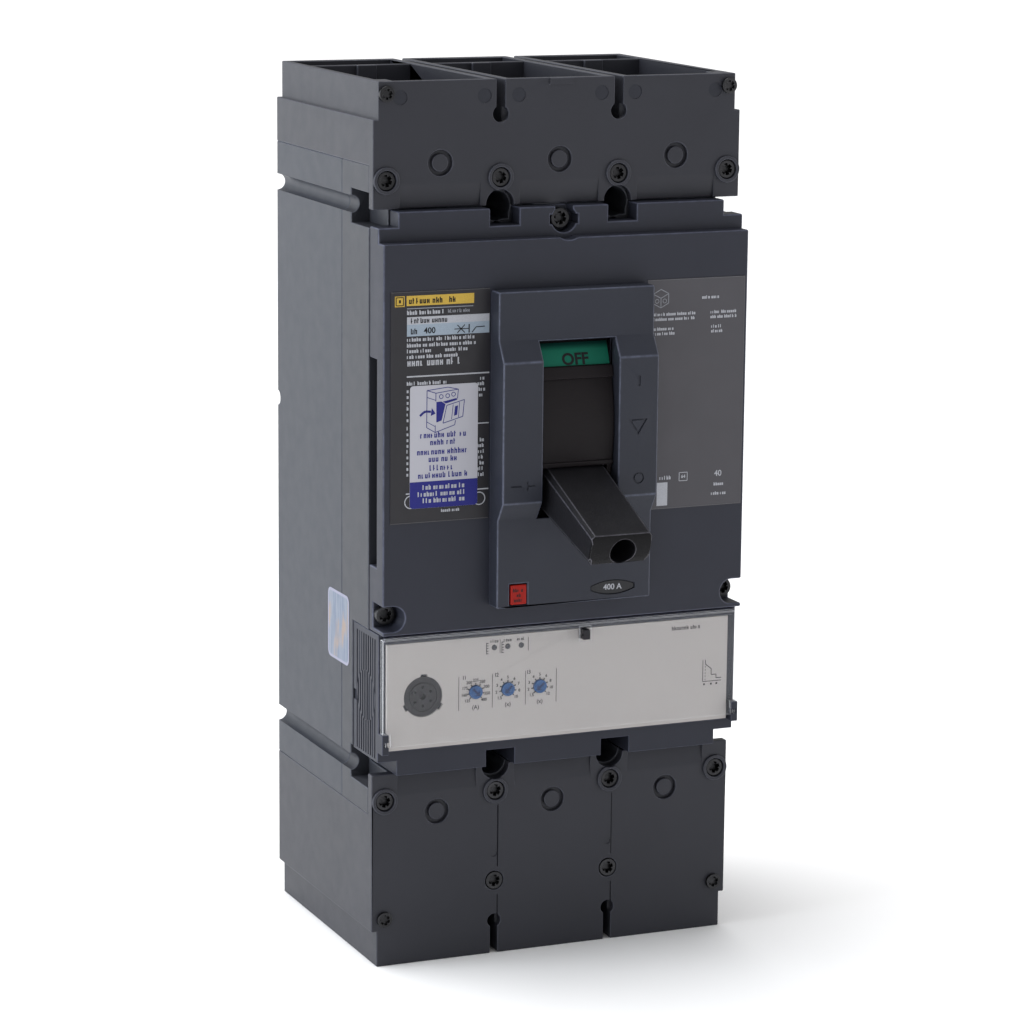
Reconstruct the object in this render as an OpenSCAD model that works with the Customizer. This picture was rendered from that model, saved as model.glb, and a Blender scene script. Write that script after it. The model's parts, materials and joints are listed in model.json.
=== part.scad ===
// Three-pole molded case circuit breaker with an electronic trip unit and lug covers.
// X runs across the poles, depth runs from the mounting face (depth 0) to the front as -Y, and Z is up.
// The origin is the centre of the four mounting screws, on the mounting face.
// The rest position is OFF: handle down, contacts open, trip unit window shut.

/* [Case] */
// Width of the case across its three poles
case_w = 140; // [139:0.5:142]
// Height of the case between its lug covers
case_h = 231; // [230:0.5:234]
// Depth from the mounting face to the seam between base and middle casing
base_d = 68.5; // [68:0.25:69]
// Depth from the mounting face to the front of the middle casing
mid_d = 95; // [94.5:0.25:95.5]
// Depth from the mounting face to the main front face
face_d = 108.5; // [108.5:0.25:110]
// Distance between the centres of neighbouring poles
pole_pitch = 45; // [45:0.1:45.5]
// Width of the arc chamber in each pole
chamber_w = 40; // [39:0.5:40]

/* [Mounting] */
// Distance between the mounting screws, across
mount_w = 45; // [44.5:0.5:45.5]
// Distance between the mounting screws, up and down
mount_h = 200; // [199:0.5:201]
// Diameter of the mounting screw holes
mount_hole_d = 6; // [5.5:0.1:6.2]
// Depth of the mounting screw seats
mount_seat_d = 26; // [20:1:40]

/* [Lug covers] */
// Height that the upper lug cover stands above the case
upper_cover_h = 29; // [26:0.5:34]
// Height that the lower lug cover hangs below the case
lower_cover_h = 56; // [54:0.5:62]
// Height of the narrow end band of each lug cover
end_band_h = 13; // [12:0.5:13]
// Depth of the lug covers, from the mounting face
cover_d = 98.8; // [98.5:0.1:99.5]
// Wall thickness of the lug covers
cover_wall = 2.5; // [2:0.1:3]

/* [Lugs] */
// Diameter of the wire hole in each lug
wire_hole_d = 21; // [16:0.5:22]
// Height of each lug block, along its wire hole
lug_h = 28; // [26:1:30]
// Width of each lug block
lug_w = 29; // [28:0.5:30]

/* [Handle] */
// Angle of the handle below level when it is off
off_angle = 19; // [17:0.5:19]
// Depth of the handle's pivot
pivot_d = 50; // [50:0.25:51]
// Height of the handle's pivot above the mounting centre
pivot_z = 23.2; // [23:0.1:23.5]
// Distance from the handle's pivot to its tip
handle_reach = 111; // [105:1:114]
// Width of the handle at its tip
handle_w = 22.8; // [20:0.2:23]
// Outer radius of the curved shutter behind the window
shutter_r = 67; // [66.5:0.25:67]

/* [Contacts] */
// Depth of the contact rotor's axis
rotor_d = 34; // [34:0.1:34.2]
// Angle that the contacts are open when the handle is off
open_angle = 30; // [24:1:30]
// Distance from the rotor's axis to the middle of each contact tip
contact_reach = 30; // [29.5:0.5:30]

/* [Trip unit] */
// Height of the top of the trip unit
trip_top = -48.3; // [-48.5:0.1:-48.2]
// Depth of the trip unit's front plate
trip_face_d = 105.4; // [105.2:0.1:105.5]
// Diameter of the setting dials
dial_d = 4.8; // [4:0.2:5]
// Distance between the setting dials
dial_pitch = 12.4; // [11.5:0.1:12.8]
// Diameter of the test socket
socket_d = 14.6; // [12:0.2:15]

/* [Hidden] */
$fn = 64;

half_w = case_w / 2;
half_h = case_h / 2;
pole_x = [-pole_pitch, 0, pole_pitch];
wall_x = [-pole_pitch / 2, pole_pitch / 2];
mount_x = mount_w / 2;
mount_z = mount_h / 2;
groove_r = 3;
inner_wall_d = 20.9;
access_r = 5.2;

chamber_z = 88;
cross_wall = 4;
pocket_w = 32;
bar_w = 20;
bar_t = 4;
bar_d = 23;
bar_gap = 0.2;

strip_d = 103.4;
strip_z = 94.7;
face_top = 89.6;
tongue_z = 100.1;
tongue_w = 124.6;
cover_gap = 0.4;
face_bottom = -48;

esc_w = 59.4;
esc_top = 72.4;
esc_bottom = -39.6;
esc_d = 115.8;
pillar_d = 120.3;
pillar_top = 48.1;
pillar_bottom = -1.5;
window_w = 28.8;
window_top = 54.6;
window_bottom = -8.3;

side_screw = [65.8, -42];
centre_screw_z = 95.4;
case_screw_z = 91.5;
collar_x = 65.1;
collar_z = 110.4;
corner_x = 65.2;
upper_corner_z = 140.2;
lower_corner_z = 154;
lower_row_z = 144.2;

handle_root_w = handle_w + 1.6;
shutter_t = 2.5;
shutter_w = 28;
shutter_reach = 49;
rotor_z = 23;
crank_r = 13;
crank_rise = 15;
cradle_pin = [56, 60];
link_bottom = [rotor_d + crank_r * cos(crank_rise), rotor_z + crank_r * sin(crank_rise)];
upper_link_len = 20.5;
lower_link_len = 21.1;
link_span = norm(link_bottom - cradle_pin);
link_along = (link_span * link_span + upper_link_len * upper_link_len
    - lower_link_len * lower_link_len) / (2 * link_span);
link_rise = sqrt(upper_link_len * upper_link_len - link_along * link_along);
link_dir = (link_bottom - cradle_pin) / link_span;
knee = cradle_pin + link_along * link_dir + link_rise * [-link_dir[1], link_dir[0]];
saddle_r = 58;
saddle = [pivot_d + saddle_r * cos(off_angle), pivot_z - saddle_r * sin(off_angle)];

button_x = -21.4;
button_z = -35;
button_size = [6, 7];
trip_bar_at = [103, -25];
plunger_x = 18.6;
plunger_d = 90;

window_hinge = [107.3, -87.3];
socket_x = -53.1;
plate_z = [-90.3, -51.7];
plate_w = 134;
dial_x = -33.1;
dial_z = -71.6;
seal_x = 8.2;

case_blue = "#4a505c";
case_dark = "#3a3f4a";

// A box given by its ranges along X, depth and Z
module block(x, d, z) {
    translate([x[0], -d[1], z[0]])
        cube([x[1] - x[0], d[1] - d[0], z[1] - z[0]]);
}

// A rod that runs from front to back
module depth_rod(x, z, r, d) {
    translate([x, -d[0], z])
        rotate([90, 0, 0])
            cylinder(r = r, h = d[1] - d[0]);
}

// A rod that runs across the poles
module cross_rod(at, r, x) {
    translate([x[0], -at[0], at[1]])
        rotate([0, 90, 0])
            cylinder(r = r, h = x[1] - x[0]);
}

// A rod that runs up and down
module post_rod(x, d, r, z) {
    translate([x, -d, z[0]])
        cylinder(r = r, h = z[1] - z[0]);
}

// A flat outline in depth and Z, thickened across X
module side_profile(x, points) {
    translate([x[0], 0, 0])
        rotate([90, 0, 90])
            linear_extrude(x[1] - x[0])
                polygon([for (p = points) [-p[0], p[1]]]);
}

// A flat bar between two points in depth and Z, with round ends
module link_bar(x, a, b, r) {
    run = b - a;
    cross_rod(a, r, x);
    cross_rod(b, r, x);
    translate([x[0], -a[0], a[1]])
        rotate([atan2(run[1], -run[0]), 0, 0])
            translate([0, 0, -0.9 * r])
                cube([x[1] - x[0], norm(run), 1.8 * r]);
}

module both_sides() {
    for (s = [0, 1])
        mirror([s, 0, 0])
            children();
}

module both_ends() {
    for (s = [0, 1])
        mirror([0, 0, s])
            children();
}

// Turns the children, built pointing to the front, about the handle's pivot
module at_handle() {
    translate([0, -pivot_d, pivot_z])
        rotate([off_angle, 0, 0])
            children();
}

// A curved strip around the handle's pivot, between two angles above the handle's own line
module pivot_arc(w, r0, r1, low, high) {
    rotate([0, 90, 0])
        rotate([0, 0, -90 - high])
            translate([0, 0, -w / 2])
                rotate_extrude(angle = high - low, $fn = 128)
                    translate([r0, 0])
                        square([r1 - r0, w]);
}

// A cross-recessed screw that points into the case, its head's back at depth d
module case_screw(x, z, d, head_r, head_t, shank_r, shank_l) {
    difference() {
        union() {
            depth_rod(x, z, head_r, [d, d + head_t]);
            depth_rod(x, z, shank_r, [d - shank_l, d]);
        }
        for (turn = [0, 60, 120])
            translate([x, -d - head_t, z])
                rotate([0, turn + 20, 0])
                    cube([head_r * 1.3, head_t * 1.7, head_r * 0.4], center = true);
    }
}

module side_grooves(d) {
    both_sides()
        both_ends()
            depth_rod(half_w, mount_z + 0.5, groove_r, d);
}

module rear_base() {
    color(case_blue)
        difference() {
            block([-half_w, half_w], [0, base_d], [-half_h, half_h]);
            for (x = pole_x) {
                block([x - chamber_w / 2, x + chamber_w / 2], [6, base_d + 1], [-chamber_z, chamber_z]);
                both_ends() {
                    block([x - pocket_w / 2, x + pocket_w / 2], [bar_d - bar_gap, base_d + 1],
                        [chamber_z + cross_wall, half_h + 1]);
                    block([x - bar_w / 2 - bar_gap, x + bar_w / 2 + bar_gap],
                        [bar_d - bar_gap, bar_d + bar_t + bar_gap],
                        [chamber_z - 1, chamber_z + cross_wall + 1]);
                    block([x - 14, x + 14], [-1, 2.5], [30, 84]);
                }
            }
            cross_rod([rotor_d, rotor_z], 5.1, [-half_w + 5, half_w - 5]);
            block([-26, 26], [rotor_d, base_d + 1], [rotor_z - 5.1, rotor_z + 5.1]);
            both_sides()
                both_ends() {
                    depth_rod(mount_x, mount_z, mount_hole_d / 2, [-1, mount_seat_d + 1]);
                    depth_rod(mount_x, mount_z, access_r, [mount_seat_d, base_d + 1]);
                }
            side_grooves([-1, base_d + 1]);
            cross_rod([0, 20], 2.6, [-half_w - 1, half_w + 1]);
            both_sides()
                both_ends()
                    depth_rod(mount_x, case_screw_z, 1.6, [40, base_d + 1]);
        }
}

module middle_casing() {
    color(case_blue)
        difference() {
            union() {
                difference() {
                    block([-half_w, half_w], [base_d, mid_d], [-half_h, half_h]);
                    for (x = pole_x) {
                        block([x - chamber_w / 2, x + chamber_w / 2], [base_d - 1, mid_d + 1],
                            [-chamber_z, chamber_z]);
                        both_ends()
                            block([x - pocket_w / 2, x + pocket_w / 2], [base_d - 1, mid_d + 1],
                                [chamber_z + cross_wall, half_h + 1]);
                    }
                }
                block([-5, 5], [80, mid_d], [chamber_z + 1, 99.4]);
                both_sides()
                    block([62.5, 66], [80, mid_d], [side_screw[1] - 4, side_screw[1] + 4]);
            }
            both_sides()
                both_ends() {
                    depth_rod(mount_x, mount_z, access_r, [base_d - 1, mid_d + 1]);
                    block([mount_x - 4.6, mount_x + 4.6], [78, mid_d + 1], [95.4, mount_z]);
                    block([63, half_w + 1], [77.5, mid_d + 1], [94, 106]);
                    depth_rod(collar_x, collar_z, 1.6, [80, mid_d + 1]);
                    depth_rod(mount_x, collar_z, 1.6, [80, mid_d + 1]);
                    depth_rod(mount_x, case_screw_z, 1.6, [base_d - 1, mid_d + 1]);
                    depth_rod(mount_x, case_screw_z, 2.7, [74, mid_d + 1]);
                }
            side_grooves([base_d - 1, 79]);
            block([-half_w - 1, half_w + 1], [79.2, mid_d + 1], [-tongue_z - 0.2, face_bottom - 0.1]);
            depth_rod(0, centre_screw_z, 1.7, [84, mid_d + 1]);
            both_sides()
                depth_rod(side_screw[0], side_screw[1], 1.3, [82, mid_d + 1]);
        }
}

module front_cover() {
    color(case_dark)
        difference() {
            union() {
                block([-half_w + 0.3, half_w - 0.3], [mid_d, face_d], [face_bottom, face_top]);
                block([-half_w + 0.3, half_w - 0.3], [mid_d, strip_d], [face_top, strip_z]);
                block([-tongue_w / 2, tongue_w / 2], [mid_d, strip_d], [strip_z, tongue_z]);
            }
            block([-60, 60], [mid_d - 1, face_d - 3], [-30, 84]);
            both_sides()
                block([59, 66.5], [mid_d - 1, face_d - 3], [-30, 84]);
            block([-60, 60], [mid_d - 1, face_d - 3], [face_bottom + 3, -29]);
            block([-16, 16], [mid_d, face_d + 1], [pivot_z - 40.9, pivot_z + 40.9]);
            both_sides() {
                block([mount_x - 5.5, mount_x + 5.5], [mid_d - 1, strip_d + 1], [94, tongue_z + 1]);
                block([half_w - 5, half_w + 1], [mid_d - 1, mid_d + 7], [-24.5, 49]);
                depth_rod(side_screw[0], side_screw[1], 4.5, [98.5, face_d + 1]);
                block([side_screw[0], half_w + 1], [98.5, face_d + 1],
                    [side_screw[1] - 4.5, side_screw[1] + 4.5]);
                depth_rod(side_screw[0], side_screw[1], 1.5, [mid_d - 1, 99]);
            }
            depth_rod(0, centre_screw_z, 4.7, [97, face_d]);
            depth_rod(0, centre_screw_z, 6.7, [strip_d, face_d + 1]);
            block([-5.3, 5.3], [97, strip_d + 1], [centre_screw_z - 1.6, centre_screw_z + 1.6]);
            block([-3.3, 3.3], [97, strip_d + 1], [centre_screw_z, tongue_z + 1]);
            depth_rod(0, centre_screw_z, 1.7, [mid_d - 1, 98]);
            depth_rod(button_x, button_z, 2, [mid_d, face_d + 1]);
        }
}

// Marks cut into the pillars: a bar for on, a circle for off and a triangle between
module pillar_marks() {
    block([21.7, 22.6], [pillar_d - 0.4, pillar_d + 1], [37.7, 41.3]);
    difference() {
        depth_rod(22.3, 4.8, 2.1, [pillar_d - 0.4, pillar_d + 1]);
        depth_rod(22.3, 4.8, 1.5, [pillar_d - 1, pillar_d + 1]);
    }
    translate([22.3, -pillar_d + 0.4, 23])
        rotate([90, 0, 0])
            linear_extrude(1)
                difference() {
                    polygon([[-4, 2.9], [3.2, 2.9], [-0.4, -2.8]]);
                    polygon([[-2.9, 2.4], [2.1, 2.4], [-0.4, -1.6]]);
                }
    block([-26.6, -22.6], [pillar_d - 0.4, pillar_d + 1], [4.3, 4.9]);
    block([-20.4, -17.4], [pillar_d - 0.4, pillar_d + 1], [4.3, 4.9]);
    block([-20.6, -20], [pillar_d - 0.4, pillar_d + 1], [3.1, 6.1]);
}

// The flat lens outline that the rating badge and its seat share
module badge_outline(grow) {
    intersection() {
        translate([0, -18.6])
            circle(21 + grow);
        translate([0, 18.6])
            circle(21 + grow);
        square([16.6 + 2 * grow, 6], center = true);
    }
}

module escutcheon() {
    color(case_blue)
        difference() {
            side_profile([-esc_w / 2, esc_w / 2], [
                [face_d, esc_bottom], [esc_d, esc_bottom], [esc_d, window_bottom],
                [pillar_d, pillar_bottom], [pillar_d, pillar_top], [esc_d, window_top + 0.8],
                [esc_d, esc_top], [face_d, esc_top]
            ]);
            block([-window_w / 2, window_w / 2], [face_d - 1, pillar_d + 1], [window_bottom, window_top]);
            block([-16, 16], [face_d - 1, esc_d - 2.6], [pivot_z - 39.3, pivot_z + 39.3]);
            block([button_x - 3.3, button_x + 3.3], [face_d - 1, esc_d + 1],
                [button_z - 3.8, button_z + 3.8]);
            translate([15, -esc_d + 0.8, -35])
                rotate([90, 0, 0])
                    linear_extrude(2)
                        badge_outline(0.3);
            pillar_marks();
        }
}

// One lug cover, built above the case: h is its height and web_z the floor of its barrier slots
module lug_cover(h, web_z, corner_z, slot_r, slot_w) {
    top = half_h + h;
    step = top - end_band_h;
    slot_z = top - end_band_h + 0.8;
    inner = mid_d + 1.3;
    difference() {
        union() {
            difference() {
                union() {
                    block([-half_w, half_w], [0, cover_d], [half_h, step]);
                    block([-half_w + 2, half_w - 2], [0, cover_d], [step, top]);
                }
                both_sides()
                    block([26.5, half_w - 2 - cover_wall], [cover_wall, inner], [half_h - 1, top + 1]);
                block([-18.5, 18.5], [cover_wall, inner], [half_h - 1, top + 1]);
            }
            block([4 - half_w, half_w - 4], [inner_wall_d, inner_wall_d + 1.8], [half_h, top - 0.3]);
            for (x = pole_x)
                block([x - 2.5, x + 5], [inner_wall_d + 1, inner_wall_d + 3.4], [130, top - 0.3]);
            block([-half_w, half_w], [mid_d, cover_d], [tongue_z + cover_gap, half_h]);
            both_sides() {
                block([corner_x - 4, half_w - 2], [88, inner + 1], [corner_z - 4.6, corner_z + 4.2]);
                depth_rod(collar_x, collar_z, 4.8, [cover_d - 1, cover_d + 1]);
                depth_rod(mount_x, collar_z, 4.8, [cover_d - 1, cover_d + 1]);
            }
        }
        for (x = wall_x) {
            block([x - 1.6, x + 1.6], [-1, inner], [web_z, top + 1]);
            block([x - slot_w / 2, x + slot_w / 2], [inner - 1, cover_d + 1], [slot_z, top + 1]);
            depth_rod(x, slot_z, slot_r, [inner - 1, cover_d + 1]);
            depth_rod(x, mount_z + 0.9, access_r, [mid_d - 1, cover_d + 1]);
            depth_rod(x, collar_z, 3.5, [inner, cover_d + 2]);
            depth_rod(x, collar_z, 1.6, [mid_d - 1, cover_d]);
        }
        both_sides() {
            depth_rod(collar_x, collar_z, 3.5, [inner, cover_d + 2]);
            depth_rod(collar_x, collar_z, 1.6, [mid_d - 1, cover_d]);
            depth_rod(corner_x, corner_z, 1.5, [84, cover_d + 1]);
        }
        for (x = pole_x) {
            side_profile([x - 15, x + 15], [
                [cover_d - 1.2, tongue_z], [cover_d + 1, tongue_z], [cover_d + 1, 109.4], [cover_d, 109.4]
            ]);
            difference() {
                depth_rod(x, 116, 4.5, [cover_d - 1.7, cover_d + 1]);
                depth_rod(x, 116, 3.1, [cover_d - 2, cover_d - 0.3]);
            }
        }
    }
}

module upper_lug_cover() {
    top = half_h + upper_cover_h;
    color(case_dark)
        difference() {
            union() {
                lug_cover(upper_cover_h, half_h + 3.5, upper_corner_z, 2.9, 3.2);
                block([-4.2, 5], [cover_d - 1, cover_d + 0.5], [top - 2.4, top]);
            }
            for (x = [-60, -28.7, -15.8, 15.8, 28.7, 60])
                depth_rod(x, 138.8, 2.6, [cover_d - 0.2, cover_d + 1]);
        }
}

module lower_lug_cover() {
    step = half_h + lower_cover_h - end_band_h;
    color(case_dark)
        mirror([0, 0, 1])
            difference() {
                lug_cover(lower_cover_h, lower_row_z + 8, lower_corner_z, 2.5, 2.8);
                for (x = wall_x) {
                    block([x + 0.9, x + 1.4], [cover_d - 0.5, cover_d + 1], [116, 139]);
                    block([x + 0.9, x + 1.4], [cover_d - 0.5, cover_d + 1], [149.6, step]);
                    depth_rod(x, lower_row_z, 3.5, [mid_d + 1.3, cover_d + 1]);
                    depth_rod(x, lower_row_z, 1.6, [84, cover_d]);
                    depth_rod(x - 0.4, 134, 1.3, [cover_d - 0.3, cover_d + 1]);
                }
            }
}

module collar_screws() {
    for (x = [-collar_x, -mount_x, mount_x, collar_x])
        case_screw(x, collar_z, mid_d + 1.4, 3.2, 2.6, 1.5, 9);
}

module upper_cover_screws() {
    color("#17181b") {
        collar_screws();
        both_sides()
            case_screw(corner_x, upper_corner_z, cover_d, 2.8, 1.4, 1.4, 8);
    }
}

module lower_cover_screws() {
    color("#17181b")
        mirror([0, 0, 1]) {
            collar_screws();
            for (x = wall_x)
                case_screw(x, lower_row_z, mid_d + 1.4, 3.2, 2.4, 1.5, 10);
            both_sides()
                case_screw(corner_x, lower_corner_z, cover_d, 2.8, 1.4, 1.4, 8);
        }
}

module front_cover_screws() {
    color("#17181b") {
        case_screw(0, centre_screw_z, 97, 3.5, 2.7, 1.6, 11);
        both_sides()
            case_screw(side_screw[0], side_screw[1], 98.5, 3.4, 2.6, 1.2, 12);
    }
}

// The long screws that hold the middle casing on the base
module case_screws() {
    color("#8f9296")
        both_sides()
            both_ends()
                case_screw(mount_x, case_screw_z, 74, 2.5, 2, 1.5, 30);
}

module rating_label() {
    color("#35363b")
        block([-67.1, -30.2], [face_d, face_d + 0.2], [-8.2, 73.2]);
}

module wiring_label() {
    color("#5c5e63")
        block([30.2, 68.6], [face_d, face_d + 0.2], [-9.6, 73.2]);
}

module instruction_sticker() {
    color("#e6e8ee")
        block([-59.9, -34.5], [face_d + 0.2, face_d + 0.35], [-3, 40.2]);
}

module inspection_sticker() {
    color("#c8ccd6")
        block([-half_w - 0.15, -half_w], [54.5, 76], [-66, -40.5]);
}

module rating_badge() {
    color("#26282e")
        translate([15, -esc_d + 0.8, -35])
            rotate([90, 0, 0])
                linear_extrude(0.5)
                    badge_outline(0);
}

// A thin slice across the handle: half its width and height, and the cuts at its upper and lower corners
module handle_slice(d, half_x, half_y, upper, lower) {
    translate([0, -d, 0])
        rotate([90, 0, 0])
            linear_extrude(0.01)
                polygon([
                    [-half_x, lower - half_y], [lower * 0.7 - half_x, -half_y],
                    [half_x - lower * 0.7, -half_y], [half_x, lower - half_y],
                    [half_x, half_y - upper], [half_x - upper, half_y],
                    [upper - half_x, half_y], [-half_x, half_y - upper]
                ]);
}

module handle() {
    root_h = 8.2;
    tip_h = 5.7;
    tip_x = handle_w / 2;
    color("#1d1e21")
        at_handle()
            difference() {
                hull() {
                    handle_slice(shutter_r - shutter_t, handle_root_w / 2, root_h, 1.7, 2.4);
                    handle_slice(handle_reach - 1.2, tip_x, tip_h, 1.2, 2);
                    handle_slice(handle_reach - 0.3, tip_x - 0.3, tip_h * 0.6, 0.5, 0.7);
                    handle_slice(handle_reach - 0.01, tip_x - 0.5, tip_h * 0.1, 0.2, 0.2);
                }
                depth_rod(0.8, -0.8, 4.7, [handle_reach - 16, handle_reach + 1]);
            }
}

module handle_shutter() {
    color("#3b3334")
        difference() {
            at_handle() {
                pivot_arc(shutter_w, shutter_r - shutter_t, shutter_r, -shutter_reach, shutter_reach);
                pivot_arc(shutter_w, shutter_r - 0.5, shutter_r + 1.5, 34, 37.5);
                pivot_arc(shutter_w, shutter_r - 0.5, shutter_r + 0.8, 7.6, 8.8);
            }
            at_handle()
                block([-handle_root_w / 2 - 0.01, handle_root_w / 2 + 0.01], [40, 75], [-8.25, 8.25]);
        }
}

module off_flag() {
    color("#1f7a55")
        at_handle()
            pivot_arc(shutter_w - 1, shutter_r, shutter_r + 0.4, 38, 45.2);
}

module handle_yoke() {
    arm_x = [12.7, 14.7];
    plate_r = shutter_r - shutter_t;
    color("#a7a9ad")
        difference() {
            at_handle() {
                both_sides() {
                    cross_rod([0, 0], 6, arm_x);
                    block(arm_x, [0, plate_r - 2.6], [-5, 5]);
                }
                block([-14.7, 14.7], [plate_r - 3.4, plate_r - 2.6], [-5, 5]);
                block([-12, 12], [plate_r - 2.7, plate_r - 0.4], [-5, 5]);
                cross_rod([saddle_r, 0], 1.3, [-13, 13]);
            }
            at_handle() {
                cross_rod([0, 0], 3.05, [-16, 16]);
                both_sides()
                    depth_rod(6, 0, 1.2, [plate_r - 6, plate_r + 1]);
            }
        }
}

module mechanism_plates() {
    plate_x = [15.2, 17.2];
    color("#9fa2a6")
        both_sides()
            difference() {
                union() {
                    side_profile(plate_x, [
                        [18, -10], [63, -10], [63, -30], [105, -30], [105, -20], [92, -20],
                        [92, 40], [70, 72], [42, 72], [42, 57], [18, 40]
                    ]);
                    block([17, 19.6], [30, 58], [-9, -5]);
                }
                cross_rod([pivot_d, pivot_z], 3, [14, 18]);
                cross_rod(cradle_pin, 2.5, [14, 18]);
                cross_rod(trip_bar_at, 2.05, [14, 18]);
                cross_rod([rotor_d, rotor_z], 6.5, [14, 18]);
                cross_rod([70, 0], 5, [14, 18]);
            }
}

module mechanism_pins() {
    color("#c3c5c8") {
        both_sides()
            cross_rod([pivot_d, pivot_z], 3, [12, 18]);
        cross_rod(cradle_pin, 2.5, [-18, 18]);
    }
}

// The latch plate that the toggle hangs from and the trip bar lets go
module cradle() {
    color("#8d9094")
        difference() {
            side_profile([-2.2, 2.2], [
                [51.4, 59.5], [52.5, 63.2], [56.5, 65], [59.5, 63.8], [85.5, 47.6], [88, 44],
                [88, 39.8], [79, 39.8], [77.4, 42], [53.2, 56.2]
            ]);
            cross_rod(cradle_pin, 2.55, [-5, 5]);
        }
}

module upper_links() {
    color("#b4b6ba")
        both_sides()
            difference() {
                link_bar([10.9, 12.4], cradle_pin, knee, 4.6);
                cross_rod(cradle_pin, 2.55, [10, 13]);
                cross_rod(knee, 3, [10, 13]);
            }
}

module lower_links() {
    color("#b4b6ba") {
        both_sides()
            difference() {
                link_bar([8.8, 10.6], link_bottom, knee, 3.6);
                cross_rod(link_bottom, 2.05, [8, 11]);
            }
        cross_rod(knee, 1.5, [-12.4, 12.4]);
    }
}

// Two tension springs from the pin in the handle's yoke to the knee of the toggle, with an eye at each end
module main_springs() {
    wire = 0.7;
    coil_r = 2.4;
    coils = 22;
    first = 5;
    run = knee - saddle;
    body = norm(run) - 2 * first;
    lift = atan2(run[1], -run[0]);
    color("#6f7276")
        for (x = [-5.6, 5.6])
            translate([x, -saddle[0], saddle[1]])
                rotate([lift - 90, 0, 0]) {
                    for (i = [0:coils])
                        translate([0, 0, first + i * body / coils])
                            rotate_extrude($fn = 24)
                                translate([coil_r, 0])
                                    circle(wire, $fn = 12);
                    translate([0, 0, first])
                        difference() {
                            cylinder(r = coil_r + 0.3, h = body);
                            translate([0, 0, 0.6])
                                cylinder(r = coil_r - 0.3, h = body - 1.2);
                        }
                    for (z = [0, norm(run)])
                        difference() {
                            union() {
                                translate([-0.8, 0, z])
                                    rotate([0, 90, 0])
                                        cylinder(r = 2.6, h = 1.6);
                                translate([0, 0, z == 0 ? 2 : z - first - 0.3])
                                    cylinder(r = 0.75, h = first - 1.7);
                            }
                            translate([-2, 0, z])
                                rotate([0, 90, 0])
                                    cylinder(r = 1.6, h = 4);
                        }
                }
}

module contact_rotor() {
    color("#7d3a2c")
        difference() {
            union() {
                for (x = pole_x)
                    cross_rod([rotor_d, rotor_z], 16, [x - 8.4, x + 8.4]);
                cross_rod([rotor_d, rotor_z], 5, [-pole_pitch - 12, pole_pitch + 12]);
            }
            translate([0, -rotor_d, rotor_z])
                rotate([-open_angle, 0, 0])
                    for (x = pole_x)
                        translate([x - 5, -3.2, -20])
                            cube([10, 6.4, 40]);
            cross_rod(link_bottom, 2, [-9, 9]);
        }
}

module rotor_pins() {
    color("#c3c5c8")
        cross_rod(link_bottom, 2, [-11.8, 11.8]);
}

// The turning copper bridges, each with a silver tip at both ends
module contact_bridges() {
    for (x = pole_x)
        translate([x, -rotor_d, rotor_z])
            rotate([-open_angle, 0, 0]) {
                color("#b87333")
                    translate([-4.9, -3, -contact_reach - 4])
                        cube([9.8, 6, 2 * contact_reach + 8]);
                color("#c9ccd0") {
                    translate([-4, -4.5, contact_reach - 3.5])
                        cube([8, 1.6, 7]);
                    translate([-4, 2.9, -contact_reach - 3.5])
                        cube([8, 1.6, 7]);
                }
            }
}

module line_bars() {
    front = rotor_d + 7;
    for (x = pole_x) {
        color("#b87333") {
            block([x - bar_w / 2, x + bar_w / 2], [bar_d, bar_d + bar_t], [82, half_h + 11]);
            block([x - bar_w / 2, x + bar_w / 2], [bar_d, front + bar_t], [82, 86]);
            block([x - bar_w / 2, x + bar_w / 2], [front, front + bar_t], [48, 86]);
        }
        color("#c9ccd0")
            block([x - 4, x + 4], [front - 2.2, front], [49.5, 56.5]);
    }
}

module load_bars() {
    for (x = pole_x) {
        color("#b87333")
            block([x - bar_w / 2, x + bar_w / 2], [bar_d, bar_d + bar_t], [-half_h - 11, -1]);
        color("#c9ccd0")
            block([x - 4, x + 4], [bar_d + bar_t, bar_d + bar_t + 2.2], [-10.5, -3.5]);
    }
}

// One row of wire lugs above the case: a block with a wire hole and a screw hole from the front
module lug_row() {
    back = bar_d + bar_t + 0.1;
    front = back + 30;
    low = half_h - 15;
    for (x = pole_x)
        difference() {
            block([x - lug_w / 2, x + lug_w / 2], [back, front], [low, low + lug_h]);
            post_rod(x, back + 14, wire_hole_d / 2, [low - 1, low + lug_h + 1]);
            depth_rod(x, low + lug_h / 2, 6.05, [back + 20, front + 1]);
        }
}

module line_lugs() {
    color("#b9bcc0")
        lug_row();
}

module load_lugs() {
    color("#b9bcc0")
        mirror([0, 0, 1])
            lug_row();
}

// Hexagon-socket screws that clamp the wires in the lugs
module lug_screws() {
    back = bar_d + bar_t + 0.1;
    color("#9a9da1")
        both_ends()
            for (x = pole_x)
                difference() {
                    depth_rod(x, half_h - 15 + lug_h / 2, 6, [back + 25, back + 34]);
                    translate([x, -back - 28, half_h - 15 + lug_h / 2])
                        rotate([90, 0, 0])
                            cylinder(r = 3.6, h = 10, $fn = 6);
                }
}

// A stack of steel plates with a vee cut facing the contact, in two insulating side walls
module arc_chute(x, d, z, vee) {
    plates = 7;
    pitch = (d[1] - d[0] - 3) / (plates - 1);
    color("#c9b48a")
        for (side = [-18, 16.4])
            block([x + side, x + side + 1.6], d, z);
    color("#7c7f84")
        for (i = [0:plates - 1])
            difference() {
                block([x - 16.4, x + 16.4], [d[0] + 1 + i * pitch, d[0] + 2.2 + i * pitch], z);
                translate([x, -d[0] - i * pitch, vee > 0 ? z[0] : z[1]])
                    rotate([90, 45, 0])
                        translate([-6, -6, 0])
                            cube([12, 12, 4]);
            }
}

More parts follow.
